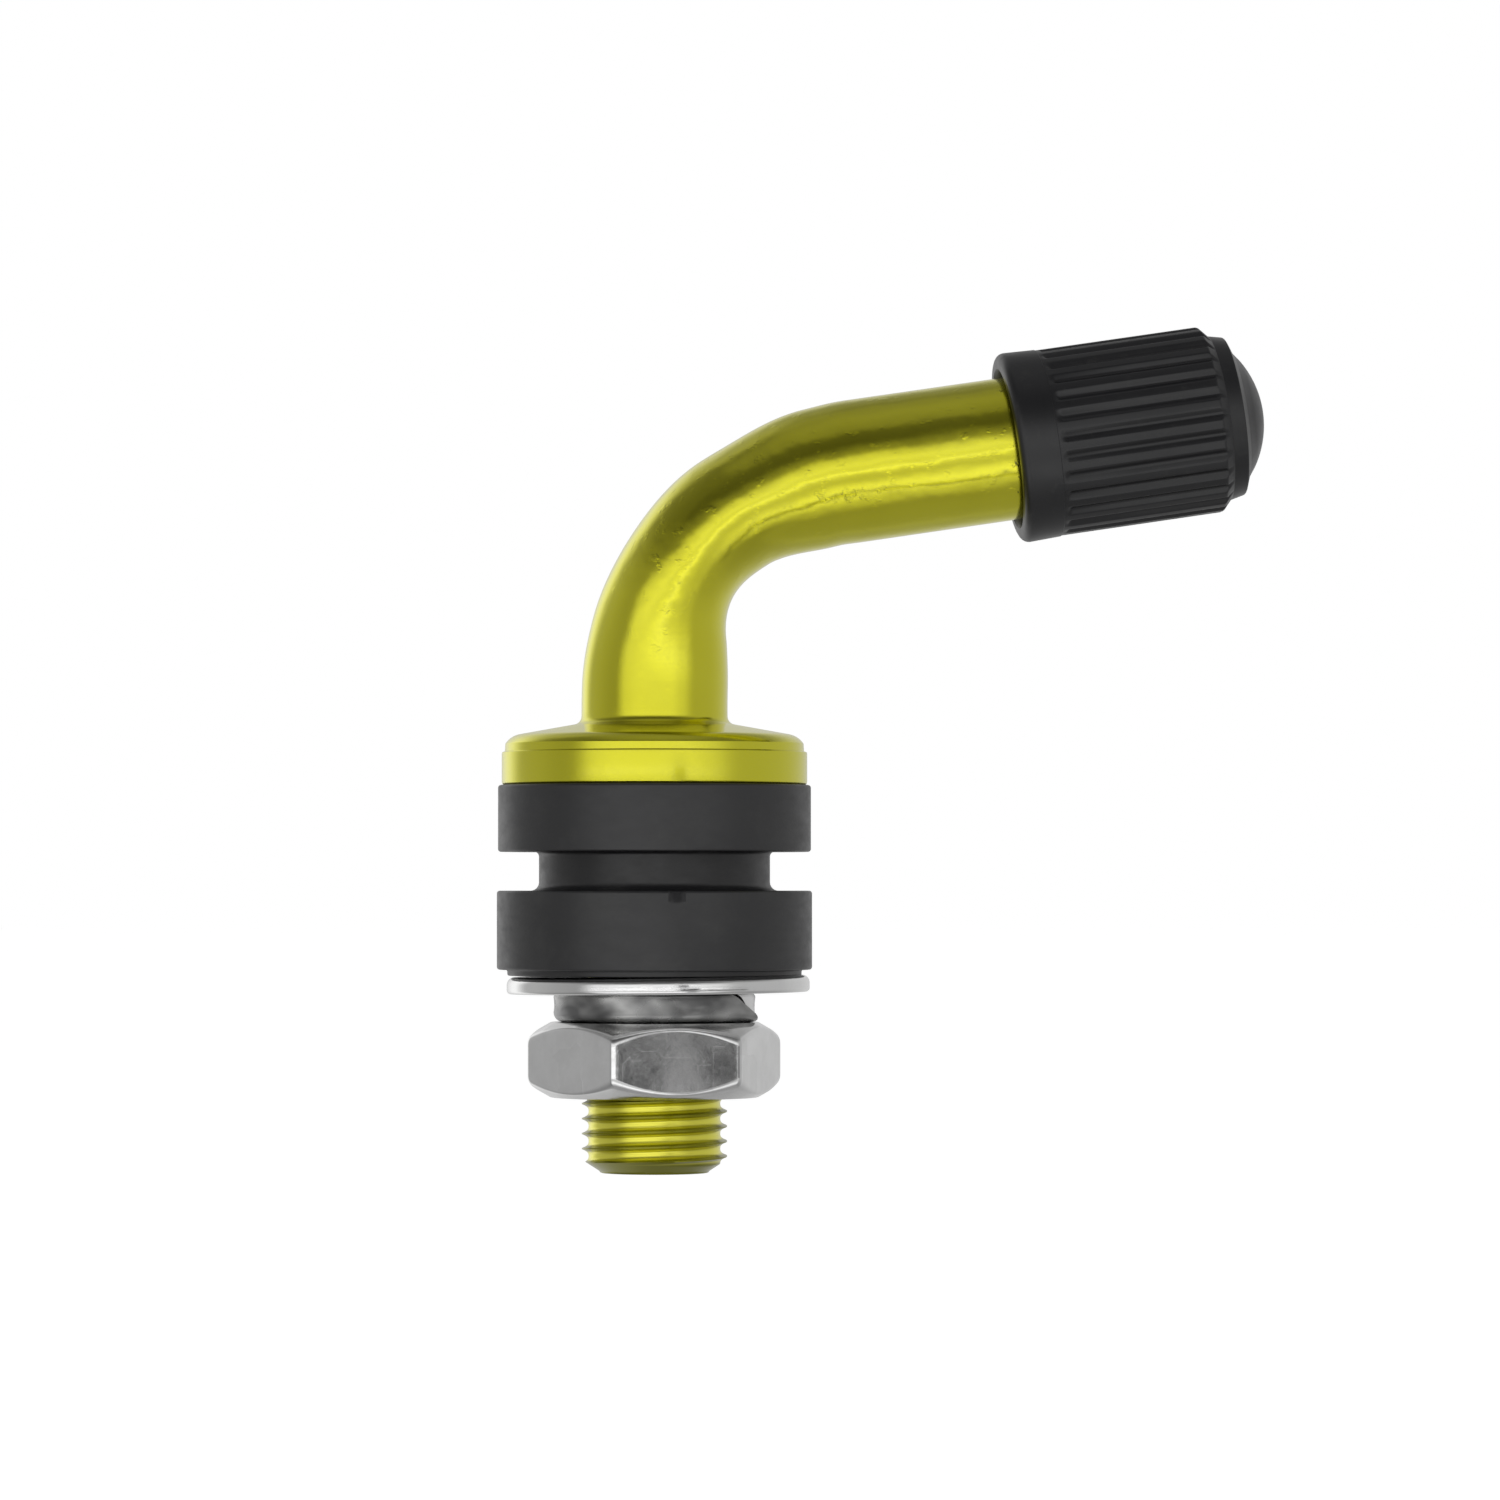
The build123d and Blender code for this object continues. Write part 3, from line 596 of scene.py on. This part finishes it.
# How far past the cut the painted highlight reaches, and its near-white colour
highlight_start, highlight_end = radians(18.0), radians(28.0)
coil_tones = (0.18, 0.18, 0.18), (0.56, 0.56, 0.55)
painted_highlight_tone = (0.88, 0.88, 0.88)

dull_plate, tree, place = start_finish("dull_plate", Metallic=1.0)
streak = speckle(tree, place, 360.0, 2.0, 0.5, stretch=(1.0, 1.0, 1.8), turned=(0, radians(38), 0))
cloud = speckle(tree, place, 500.0, 3.0)
grain = speckle(tree, place, 6000.0, 3.0)
tone = mixed(tree, spread(tree, streak, 0.0, 1.0, 0.38, 0.68), *coil_tones)
x, y, z = split(tree, place)
past_split = calc(tree, "SUBTRACT", calc(tree, "ARCTAN2", y, x), split_direction)
slant = calc(tree, "MULTIPLY_ADD", z, split_shear / mm, -split_shear * coil_middle)
past_split = calc(tree, "ADD", past_split, slant)
# Painted highlight: the ring is painted near white for a short way past the cut on one side, where its cut end
# catches the light
split_end_highlight = spread(tree, past_split, 1.0, 0.0, highlight_start, highlight_end)
split_end_highlight = calc(tree, "MULTIPLY", split_end_highlight, calc(tree, "GREATER_THAN", past_split, 0.0))
rough = calc(tree, "ADD", spread(tree, cloud, 0.20, 0.27), spread(tree, streak, 0.0, 0.05))
set_looks(tree, Base_Color=mixed(tree, split_end_highlight, tone, painted_highlight_tone), Roughness=rough)
relief(tree, (streak, 1.1e-4), (grain, 1e-6))


def close_ring(skin, ring, middle):
    """Closes a ring with a fan of faces that meet at a point."""
    centre = skin.verts.new(middle)
    for here, vertex in enumerate(ring):
        skin.faces.new((vertex, ring[(here + 1) % len(ring)], centre))


coil = bmesh.new()
seam = (coil_bore + 0.1, coil_foot, 0)
coil_outline = rounded((
    seam, (coil_radius, coil_foot, coil_foot_rounding), (coil_radius, coil_top, coil_top_rounding),
    (coil_bore, coil_top, coil_bore_rounding), (coil_bore, coil_foot, coil_bore_rounding), seam,
))[:-1]
coil_sections = []
for step in range(coil_steps + 1):
    turn = split_half_width + (2 * pi - 2 * split_half_width) * step / coil_steps
    near_end = max(0.0, 1 - (2 * pi - split_half_width - turn) / flare_length)
    far_end = max(0.0, 1 - (turn - split_half_width) / flare_length)
    section = []
    for radius, height in coil_outline:
        low = (coil_top - height) / (coil_top - coil_foot)
        outwards = flare * near_end ** 2 * low - end_set_in * far_end ** 2
        out = radius + outwards * max(0.0, (radius - coil_bore) / (coil_radius - coil_bore))
        direction = split_direction + turn - (height - coil_middle) * split_shear
        section.append(coil.verts.new(about_axis(out, direction, height)))
    coil_sections.append(section)
join_rings(coil, coil_sections)
for section in (coil_sections[0], coil_sections[-1]):
    close_ring(coil, section, sum((vertex.co for vertex in section), Vector()) / len(section))
piece = close_skin(coil, "spring_washer", dull_plate)
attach(piece, "washers")
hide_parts("lock_washer")

# Hexagon nut: cut from hexagon bar, both faces turned to a cone, countersunk and tapped, then zinc
# plated in a tumbling drum, which leaves it blotchy.
nut_foot, nut_top = (corner.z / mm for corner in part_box("hex_nut"))
nut_half_flats, nut_corner = 5.95, 0.35
nut_half_side, nut_cone_lean = radians(30), radians(30)
nut_face_radius, nut_face_rounding, nut_rim_share = 5.5, 0.3, 0.52
nut_face_leans = (0, 8, 15, 22, 30)
nut_direction = radians(37.5)
nut_sink_radius, nut_sink_edge = 4.32, 0.05
nut_flat_columns, nut_corner_columns = 40, 14
thread_clearance = 0.05
nut_tones = (0.75, 0.75, 0.745), (0.89, 0.89, 0.89)

nut_plate, tree, place = start_finish("nut_plate", Metallic=1.0)
blotch = speckle(tree, place, 620.0, 4.0, 0.6)
patch = put(tree, "ShaderNodeTexVoronoi", Vector=place, Scale=430.0, distance="CHEBYCHEV", Randomness=0.8)
patch = split(tree, patch.outputs["Color"])[0]
grain = speckle(tree, place, 5200.0, 3.0)
stain = calc(tree, "MULTIPLY_ADD", patch, 0.35, spread(tree, blotch, 0.0, 0.65))
rough = calc(tree, "ADD", spread(tree, blotch, 0.09, 0.14), spread(tree, grain, 0.0, 0.03))
set_looks(tree, Base_Color=mixed(tree, stain, *nut_tones), Roughness=rough)
relief(tree, (blotch, 1.1e-5), (patch, 3e-6), (grain, 5e-7))

flat_half = atan2((nut_half_flats - nut_corner) * tan(nut_half_side), nut_half_flats)
corner_half = nut_half_side - flat_half


def nut_wall(angle):
    """Gives the hexagon's reach at an angle, with its corners rounded."""
    from_flat = (angle + nut_half_side) % (2 * nut_half_side) - nut_half_side
    if abs(from_flat) < flat_half:
        return nut_half_flats / cos(from_flat)
    from_corner = nut_half_side - abs(from_flat)
    centre = (nut_half_flats - nut_corner) / cos(nut_half_side)
    return centre * cos(from_corner) + sqrt(nut_corner ** 2 - (centre * sin(from_corner)) ** 2)


nut_angles = []
for number in range(6):
    middle = nut_direction + 2 * nut_half_side * number
    for start, half, columns in (
        (middle - flat_half, flat_half, nut_flat_columns),
        (middle + flat_half, corner_half, nut_corner_columns),
    ):
        nut_angles += [start + 2 * half * column / columns for column in range(columns)]
nut_columns = len(nut_angles)
nut_start = nut_angles[0]


def nut_ring(skin, upper, reach=None, drop=0.0, lean=0.0):
    """Adds a ring at a reach on the end face, or at a lean on the rounding from the cone to the wall."""
    points = []
    for angle in nut_angles:
        radius = nut_wall(angle - nut_direction)
        rounding = nut_rim_share * (radius - nut_face_radius)
        fall = (radius - nut_face_radius) * tan(nut_cone_lean)
        fall += rounding * (tan(radians(45) - nut_cone_lean / 2) - cos(lean))
        radius, fall = radius - rounding * (1 - sin(lean)), fall + drop
        if reach is not None:
            radius, fall = reach, drop
        points.append(skin.verts.new(about_axis(radius, angle, nut_top - fall if upper else nut_foot + fall)))
    return points


nut = bmesh.new()
nut_rings = []
for upper in (False, True):
    end_rings = []
    for lean in nut_face_leans:
        inwards = nut_face_rounding * (tan(nut_cone_lean / 2) - sin(radians(lean)))
        drop = nut_face_rounding * (1 - cos(radians(lean)))
        end_rings.append(nut_ring(nut, upper, nut_face_radius - inwards, drop))
    end_rings += [nut_ring(nut, upper, lean=radians(lean)) for lean in range(30, 91, 10)]
    end_rings.append(nut_ring(nut, upper, drop=0.03, lean=radians(90)))
    nut_rings += reversed(end_rings) if upper else end_rings
join_rings(nut, nut_rings)
for face_ring, height, inwards in (
    (nut_rings[0], nut_foot, nut_sink_edge), (nut_rings[-1], nut_top, -nut_sink_edge),
):
    join_rings(nut, [
        face_ring, even_ring(nut, nut_columns, nut_sink_radius + nut_sink_edge, height, nut_start),
        even_ring(nut, nut_columns, nut_sink_radius, height + inwards, nut_start),
    ])
cut_thread(
    nut, nut_plate, Matrix.Rotation(nut_start, 4, "Z"), columns=nut_columns, rows=8,
    crest=thread_crest + thread_clearance, root=thread_root + thread_clearance,
    crest_height=stem_crest_height - thread_pitch * nut_start / (2 * pi), start=nut_foot + nut_sink_edge,
    end=nut_top - nut_sink_edge, start_radius=nut_sink_radius, end_radius=nut_sink_radius, inside=True,
)
piece = close_skin(nut, "hexagon_nut", nut_plate, sharp_angle=40)
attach(piece, "nut")
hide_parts("hex_nut")

# Dust cap: moulded in black plastic, with a smooth band at its mouth, ribs for the fingers, a collar
# and a domed end. It screws on the nose by the thread moulded inside it.
cap_length = 13.8
cap_mouth_radius, cap_mouth_rounding, cap_lip = 5.1, 0.45, 0.15
cap_band_length, cap_band_taper = 2.1, 0.08
rib_radius, rib_count = 4.985, 28
rib_end, rib_end_rounding, rib_run_out = 10.9, 0.25, 0.45
cap_groove_depth = 0.21
groove_floor_half, groove_top_half = 0.6, 4.0
groove_columns = (0.0, 0.6, 1.5, 2.4, 3.2, 4.0, 4.7, 5.5)
collar_start, collar_radius = 11.4, 4.43
collar_end, collar_taper = 12.2, 0.18
dome_start, dome_radius, dome_shoulder, dome_steps = 12.5, 3.475, 0.3, 14
counterbore_radius, counterbore_depth = 4.15, 1.6
cap_bore_radius, cap_bore_depth = thread_crest + thread_clearance, 10.7
cap_thread_end = 9.68
cap_tones = (0.007, 0.007, 0.008), (0.014, 0.014, 0.014)

plastic, tree, place = start_finish("black_plastic", Specular_IOR_Level=0.6)
cloud = speckle(tree, place, 300.0, 4.0, 0.6)
grain = speckle(tree, place, 4200.0, 3.0)
wear = spread(tree, speckle(tree, place, 1500.0, 4.0, 0.7), 0.0, 1.0, 0.58, 0.75)
rough = calc(tree, "ADD", spread(tree, cloud, 0.30, 0.42), calc(tree, "MULTIPLY", wear, 0.08))
set_looks(tree, Base_Color=mixed(tree, wear, *cap_tones), Roughness=rough)
relief(tree, (cloud, 1.2e-5), (grain, 8e-7))

# The rib tree presses the grooves between the ribs into the turned cap, as deep as the sizes say
rib_tree, given = start_tree("press_ribs", {
    "Ribs": int, "Rib Radius": float, "Groove Depth": float, "Floor Half Angle": float,
    "Top Half Angle": float, "Start": float, "Run Out": float, "Finish": None,
})
tree = rib_tree
x, y, z = split(tree, put(tree, "GeometryNodeInputPosition").outputs[0])
reach = calc(tree, "SQRT", calc(tree, "MULTIPLY_ADD", x, x, calc(tree, "MULTIPLY", y, y)))
turned = calc(tree, "DIVIDE", calc(tree, "ARCTAN2", y, x), radians(360))
in_rib = calc(tree, "FRACT", calc(tree, "MULTIPLY_ADD", turned, given["Ribs"], 0.5))
from_groove = calc(tree, "ABSOLUTE", calc(tree, "SUBTRACT", in_rib, 0.5))
from_groove = calc(tree, "DIVIDE", calc(tree, "MULTIPLY", from_groove, 360.0), given["Ribs"])
pressed = spread(tree, from_groove, 1.0, 0.0, given["Floor Half Angle"], given["Top Half Angle"])
begun = spread(tree, z, 0.0, 1.0, given["Start"], calc(tree, "ADD", given["Start"], given["Run Out"]))
pressed = calc(tree, "MULTIPLY", calc(tree, "MULTIPLY", pressed, begun), given["Groove Depth"])
limit = calc(tree, "SUBTRACT", given["Rib Radius"], pressed)
limit = calc(tree, "ADD", limit, calc(tree, "SUBTRACT", 1.0, begun))
kept = calc(tree, "DIVIDE", calc(tree, "MINIMUM", reach, limit), calc(tree, "MAXIMUM", reach, 0.001))
across = [calc(tree, "MULTIPLY", side, kept) for side in (x, y)]
end_tree(tree, move_points(tree, given["Geometry"], *across, z), given["Finish"])

rib_angle = 360 / rib_count
half_rib = [*groove_columns, rib_angle / 2]
rib_offsets = [*half_rib[:-1], *[rib_angle - offset for offset in reversed(half_rib[1:])]]
cap_angles = [radians(rib_angle * rib + offset) for rib in range(rib_count) for offset in rib_offsets]
cap_columns = len(cap_angles)


def cap_ring(skin, radius, height):
    """Adds a ring to the cap, with its columns close together at the grooves."""
    return [skin.verts.new(about_axis(radius, angle, height)) for angle in cap_angles]


shell = bmesh.new()
dome_height = cap_length - dome_start
dome_curve = (dome_radius ** 2 + dome_height ** 2) / (2 * dome_height)
cap_outline = rounded((
    (counterbore_radius + cap_lip, 0, 0), (cap_mouth_radius, 0, cap_mouth_rounding),
    (cap_mouth_radius - cap_band_taper, cap_band_length, 0.03),
    *((rib_radius, cap_band_length + rise, 0) for rise in (0.02, 0.2, rib_run_out)),
    (rib_radius, (cap_band_length + rib_end) / 2, 0), (rib_radius, rib_end, rib_end_rounding),
    (collar_radius, collar_start, 0.08), (collar_radius - collar_taper, collar_end, 0.1),
    (dome_radius, dome_start, 0.12), (dome_radius - 0.4, dome_start + 0.19, 0),
))[:-1]
for step in range(1, dome_steps):
    radius = (dome_radius - dome_shoulder) * (1 - step / dome_steps)
    cap_outline.append(Vector((radius, cap_length - dome_curve + sqrt(dome_curve ** 2 - radius ** 2))))
cap_rings = [cap_ring(shell, radius, height) for radius, height in cap_outline]
join_rings(shell, cap_rings)
close_ring(shell, cap_rings[-1], (0, 0, cap_length))
outside = bpy.data.meshes.new("cap_outside")
shell.to_mesh(outside)
shell.free()
cap = bmesh.new()
cap.from_mesh(run_tree(rib_tree, {
    "Ribs": rib_count, "Rib Radius": rib_radius, "Groove Depth": cap_groove_depth,
    "Floor Half Angle": groove_floor_half, "Top Half Angle": groove_top_half, "Start": cap_band_length,
    "Run Out": rib_run_out, "Finish": plastic,
}, outside))
join_rings(cap, [cap_ring(cap, counterbore_radius + cap_lip, 0), *(
    even_ring(cap, cap_columns, radius, height) for radius, height in (
        (counterbore_radius, 0.2), (counterbore_radius, counterbore_depth),
        (cap_bore_radius + cap_lip, counterbore_depth))
)])
bore_rings = [
    even_ring(cap, cap_columns, radius, height) for radius, height in (
        (cap_bore_radius, cap_thread_end), (cap_bore_radius, cap_bore_depth),
        (cap_bore_radius / 2, cap_bore_depth))
]
join_rings(cap, bore_rings)
close_ring(cap, bore_rings[-1], (0, 0, cap_bore_depth))
cut_thread(
    cap, plastic, columns=cap_columns, rows=6, crest=cap_bore_radius, root=thread_root + thread_clearance,
    crest_height=-arm_shown, start=counterbore_depth, end=cap_thread_end,
    start_radius=cap_bore_radius + cap_lip, end_radius=cap_bore_radius, inside=True,
)
piece = close_skin(cap, "ribbed_cap", plastic, on_arm @ Matrix.Translation((0, 0, arm_shown)), sharp_angle=45)
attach(piece, "cap")
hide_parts("dust_cap")

# Sealing rings: a black rubber disc pressed into the end of the cap, whose face shows once the cap is
# off, and the small gasket in the core's cup, of the same rubber.
seal_tones = (0.035, 0.034, 0.034), (0.060, 0.059, 0.058)

seal_rubber, tree, place = start_finish("seal_rubber", Specular_IOR_Level=0.4)
grain = speckle(tree, place, 3800.0, 4.0)
set_looks(tree, Base_Color=mixed(tree, grain, *seal_tones), Roughness=spread(tree, grain, 0.55, 0.72))
relief(tree, (grain, 5e-6))
for name in ("cap_seal", "cup_gasket"):
    frame["nodes"][name].material_slots[0].material = seal_rubber

# Valve core: a turned brass plug with a barrel that hangs in it, and a pin with its cup. They screw
# into the nose as one insert, and the cup closes the barrel until a pump presses the pin.
brass_tones = (0.70, 0.52, 0.22), (0.80, 0.63, 0.30)

brass, tree, place = start_finish("turned_brass", Metallic=1.0)
cloud = speckle(tree, place, 700.0, 3.0)
marks = speckle(tree, place, 3000.0, 3.0, 0.6, stretch=(4.0, 1.0, 1.0), turned=(0, radians(8.5), 0))
tone = mixed(tree, spread(tree, cloud, 0.0, 1.0), *brass_tones)
set_looks(tree, Base_Color=tone, Roughness=spread(tree, marks, 0.20, 0.34))
relief(tree, (marks, 3e-6), (cloud, 5e-6))
for name in ("core_plug", "core_barrel", "core_pin", "core_cup"):
    frame["nodes"][name].material_slots[0].material = brass

# Core spring: drawn steel wire, wound round the pin. It stands on the barrel's floor and gets shorter
# as the pin goes in. Here it is wound at one height and moves with the valve body.
spring_wire_radius, spring_coil_radius = 0.13, 0.94
spring_foot, spring_height = 4.5, 5.55
spring_turns, spring_turn_steps, spring_sides = 7.0, 48, 16
spring_direction = radians(19.8)
wire_tones = (0.50, 0.50, 0.51), (0.66, 0.66, 0.66)

wire, tree, place = start_finish("drawn_wire", Metallic=1.0)
drawn = speckle(tree, place, 2600.0, 3.0)
set_looks(tree, Base_Color=mixed(tree, drawn, *wire_tones), Roughness=spread(tree, drawn, 0.22, 0.36))
relief(tree, (drawn, 3e-6))

# The spring tree winds the wire
spring_tree, given = start_tree("wind_spring", {
    "Turns": float, "Turn Steps": int, "Sides": int, "Coil Radius": float, "Height": float,
    "Wire Radius": float, "Finish": None,
})
tree = spring_tree
spiral = put(
    tree, "GeometryNodeCurveSpiral", Resolution=given["Turn Steps"], Rotations=given["Turns"],
    Start_Radius=given["Coil Radius"], End_Radius=given["Coil Radius"], Height=given["Height"], Reverse=True,
).outputs[0]
section = put(
    tree, "GeometryNodeCurvePrimitiveCircle", Resolution=given["Sides"], Radius=given["Wire Radius"],
).outputs[0]
wound = put(tree, "GeometryNodeCurveToMesh", Curve=spiral, Profile_Curve=section, Fill_Caps=True).outputs[0]
end_tree(tree, wound, given["Finish"])

spring = bmesh.new()
spring.from_mesh(run_tree(spring_tree, {
    "Turns": spring_turns, "Turn Steps": spring_turn_steps, "Sides": spring_sides,
    "Coil Radius": spring_coil_radius, "Height": spring_height, "Wire Radius": spring_wire_radius,
    "Finish": wire,
}))
place = on_arm @ Matrix.Translation((0, 0, spring_foot)) @ Matrix.Rotation(spring_direction, 4, "Z")
piece = close_skin(spring, "wound_spring", wire, place)
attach(piece, "valve")
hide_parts("core_spring")
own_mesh(piece)

# Barrel gasket: a tapered ring of red moulded plastic, slipped over the barrel. It seals on the cone
# of the chamber when the core is screwed in.
gasket_tones = (0.34, 0.035, 0.028), (0.46, 0.06, 0.045)

red_plastic, tree, place = start_finish("red_plastic")
grain = speckle(tree, place, 3000.0, 3.0)
set_looks(tree, Base_Color=mixed(tree, grain, *gasket_tones), Roughness=spread(tree, grain, 0.38, 0.52))
relief(tree, (grain, 4e-6))
frame["nodes"]["barrel_gasket"].material_slots[0].material = red_plastic

# Studio: a pale sheet under the valve, a soft lamp to each side, and white surroundings with darker
# screens beside and above the camera, which the metal mirrors
floor_height = -41.0 * mm
floor_reach = 6.0
floor_tones = (0.80, 0.80, 0.80), (0.82, 0.82, 0.82)
camera_azimuth = radians(4.5)
view_target = Vector((5.08, 0, 6.44)) * mm


def flat_sheet(name, finish, across, along, height=0.0):
    """Makes a flat sheet that reaches so far each way from its middle, in metres."""
    mesh = bpy.data.meshes.new(name)
    corners = [(x * across, y * along, height) for x, y in ((-1, -1), (1, -1), (1, 1), (-1, 1))]
    mesh.from_pydata(corners, [], [(0, 1, 2, 3)])
    mesh.materials.append(finish)
    return set_up(name, mesh)


pale, tree, place = start_finish(
    "pale_paper", Roughness=0.9, Specular_IOR_Level=0.0, Emission_Color=(1, 1, 1, 1))
fibre = speckle(tree, place, 60.0, 3.0)
glow = calc(tree, "MULTIPLY", put(tree, "ShaderNodeLightPath").outputs["Is Camera Ray"], 0.5)
set_looks(tree, Base_Color=mixed(tree, fibre, *floor_tones), Emission_Strength=glow)
from_below = put(tree, "ShaderNodeMixShader", Fac=put(tree, "ShaderNodeNewGeometry").outputs["Backfacing"])
feed(tree, from_below.inputs[1], tree.nodes["Principled BSDF"].outputs[0])
feed(tree, from_below.inputs[2], put(tree, "ShaderNodeBsdfTransparent").outputs[0])
feed(tree, tree.nodes["Material Output"].inputs["Surface"], from_below.outputs[0])
floor_sheet = flat_sheet("pale_floor", pale, floor_reach, floor_reach, floor_height)
floor_sheet.visible_glossy = False


def level_ramp(tree, value, reach, *levels):
    """Gives a level of light that follows an angle through stops, each an angle and its level."""
    ramp = put(tree, "ShaderNodeValToRGB")
    ramp.color_ramp.interpolation = "EASE"
    stops = ramp.color_ramp.elements
    while len(stops) < len(levels):
        stops.new(0.5)
    for stop, (at, level) in zip(stops, levels):
        stop.position = (at + reach) / (2 * reach)
        stop.color = (level, level, level, 1.0)
    feed(tree, ramp.inputs[0], spread(tree, value, 0.0, 1.0, radians(-reach), radians(reach)))
    return ramp.outputs[0]


world = bpy.data.worlds.new("studio")
world.use_nodes = True
bpy.context.scene.world = world
tree = world.node_tree
tree.nodes.clear()
x, y, z = split(tree, put(tree, "ShaderNodeTexCoord").outputs["Generated"])
azimuth = calc(tree, "ADD", calc(tree, "ARCTAN2", x, calc(tree, "MULTIPLY", y, -1.0)), camera_azimuth)
elevation = calc(tree, "ARCSINE", z)
sides = level_ramp(
    tree, azimuth, 180, (-180, 0.62), (-142, 1.0), (-118, 0.42), (-58, 0.31), (40, 0.44), (90, 0.45),
    (180, 0.62),
)
side_heights = level_ramp(tree, elevation, 90, (-50, 0.6), (-5, 1.0), (20, 1.0), (46, 0.4))
front = level_ramp(
    tree, elevation, 90, (-90, 0.32), (-64, 0.33), (-50, 0.66), (-40, 1.15), (-33, 1.2), (-14, 0.62),
    (-6, 0.75), (-3, 1.6), (0.0, 0.9), (2.5, 0.8), (7, 1.05), (17, 0.8), (28, 0.22), (44, 0.08), (58, 0.10),
    (70, 0.25), (90, 0.30),
)
window = level_ramp(
    tree, azimuth, 180, (-180, 0.0), (-64, 0.0), (-46, 0.85), (-28, 1.0), (26, 0.95), (44, 0.6), (66, 0.0),
    (180, 0.0),
)
pole = spread(tree, calc(tree, "ABSOLUTE", elevation), 0.0, 1.0, radians(52), radians(74))
around = mixed(tree, calc(tree, "MAXIMUM", window, pole), calc(tree, "MULTIPLY", sides, side_heights), front)
path = put(tree, "ShaderNodeLightPath")
seen = mixed(tree, path.outputs["Is Camera Ray"], around, (1.0, 1.0, 1.0))
seen = mixed(tree, path.outputs["Is Diffuse Ray"], seen, (0.62, 0.62, 0.62))
backdrop = put(tree, "ShaderNodeBackground", Color=seen)
feed(tree, put(tree, "ShaderNodeOutputWorld").inputs["Surface"], backdrop.outputs[0])

for name, spot, reach, share in (
    ("key_lamp", (-0.20, -0.26, 0.24), 0.24, 0.34), ("fill_lamp", (0.30, -0.14, 0.14), 0.22, 0.16),
):
    lamp = bpy.data.lights.new(name, "AREA")
    lamp.shape = "SQUARE"
    lamp.size = reach
    towards_lamp = Vector(spot)
    lamp.energy = pi * pi * towards_lamp.length_squared * share
    light = set_up(name, lamp)
    light.location = view_target + towards_lamp
    light.rotation_euler = towards_lamp.to_track_quat("Z", "Y").to_euler()
    light.visible_glossy = False

# The nut's front flat mirrors small dark cards that only glossy rays see, with a gap between them
camera_side = radians(-90) - camera_azimuth
nut_middle = (nut_top + nut_foot) / 2


def add_card(name, across, up, width, height, level, distance=40.0, turned=0.0):
    """Sets up a card where the nut's front flat mirrors it, so far across and up from the ray's end."""
    facing = nut_direction - radians(120)
    away = 2 * facing - camera_side + turned
    ray = Vector((cos(away), sin(away), -0.026))
    finish = start_finish(
        name, Roughness=1.0, Specular_IOR_Level=0.0, Base_Color=(0, 0, 0, 1), Emission_Color=(1, 1, 1, 1),
        Emission_Strength=level,
    )[0]
    card = flat_sheet(name, finish, width / 2 * mm, height / 2 * mm)
    card.matrix_world = Matrix.Translation(mm * (
        Vector((nut_half_flats * cos(facing), nut_half_flats * sin(facing), nut_middle + up))
        + ray * distance + Vector((-ray.y, ray.x, 0)) * across
    )) @ ray.to_track_quat("-Z", "Y").to_matrix().to_4x4()
    for seen_by in ("camera", "diffuse", "transmission", "shadow"):
        setattr(card, "visible_" + seen_by, False)


add_card("back_card", 0.0, 0.0, 13.0, 8.0, 0.48, 41.0)
add_card("near_card", -2.9, 0.0, 3.8, 7.0, 0.07)
add_card("far_card", 2.7, 0.0, 4.2, 7.0, 0.07)
add_card("top_card", -0.2, 2.2, 1.7, 2.6, 0.13)
add_card("corner_card", 3.0, 0.0, 30.0, 4.4, 0.2, 42.0, radians(26))
add_card("low_card", 3.6, -18.2, 7.0, 29.6, 0.36)
add_card("high_card", -3.4, 10.5, 5.5, 10.0, 0.3)

# Camera: a long lens at the height of the groove, turned a little to the left of the arm's plane
view_distance = 358.0 * mm
eye_height = -0.75 * mm
camera = bpy.data.cameras.new("camera")
camera.lens = 161.8
camera.sensor_width = 36.0
camera.clip_start = 0.01
camera.clip_end = 30.0
eye = set_up("camera", camera)
eye.location = (
    view_target.x - view_distance * sin(camera_azimuth), -view_distance * cos(camera_azimuth), eye_height)
eye.rotation_euler = (eye.location - view_target).to_track_quat("Z", "Y").to_euler()
bpy.context.scene.camera = eye
bpy.context.scene.view_settings.view_transform = "Standard"
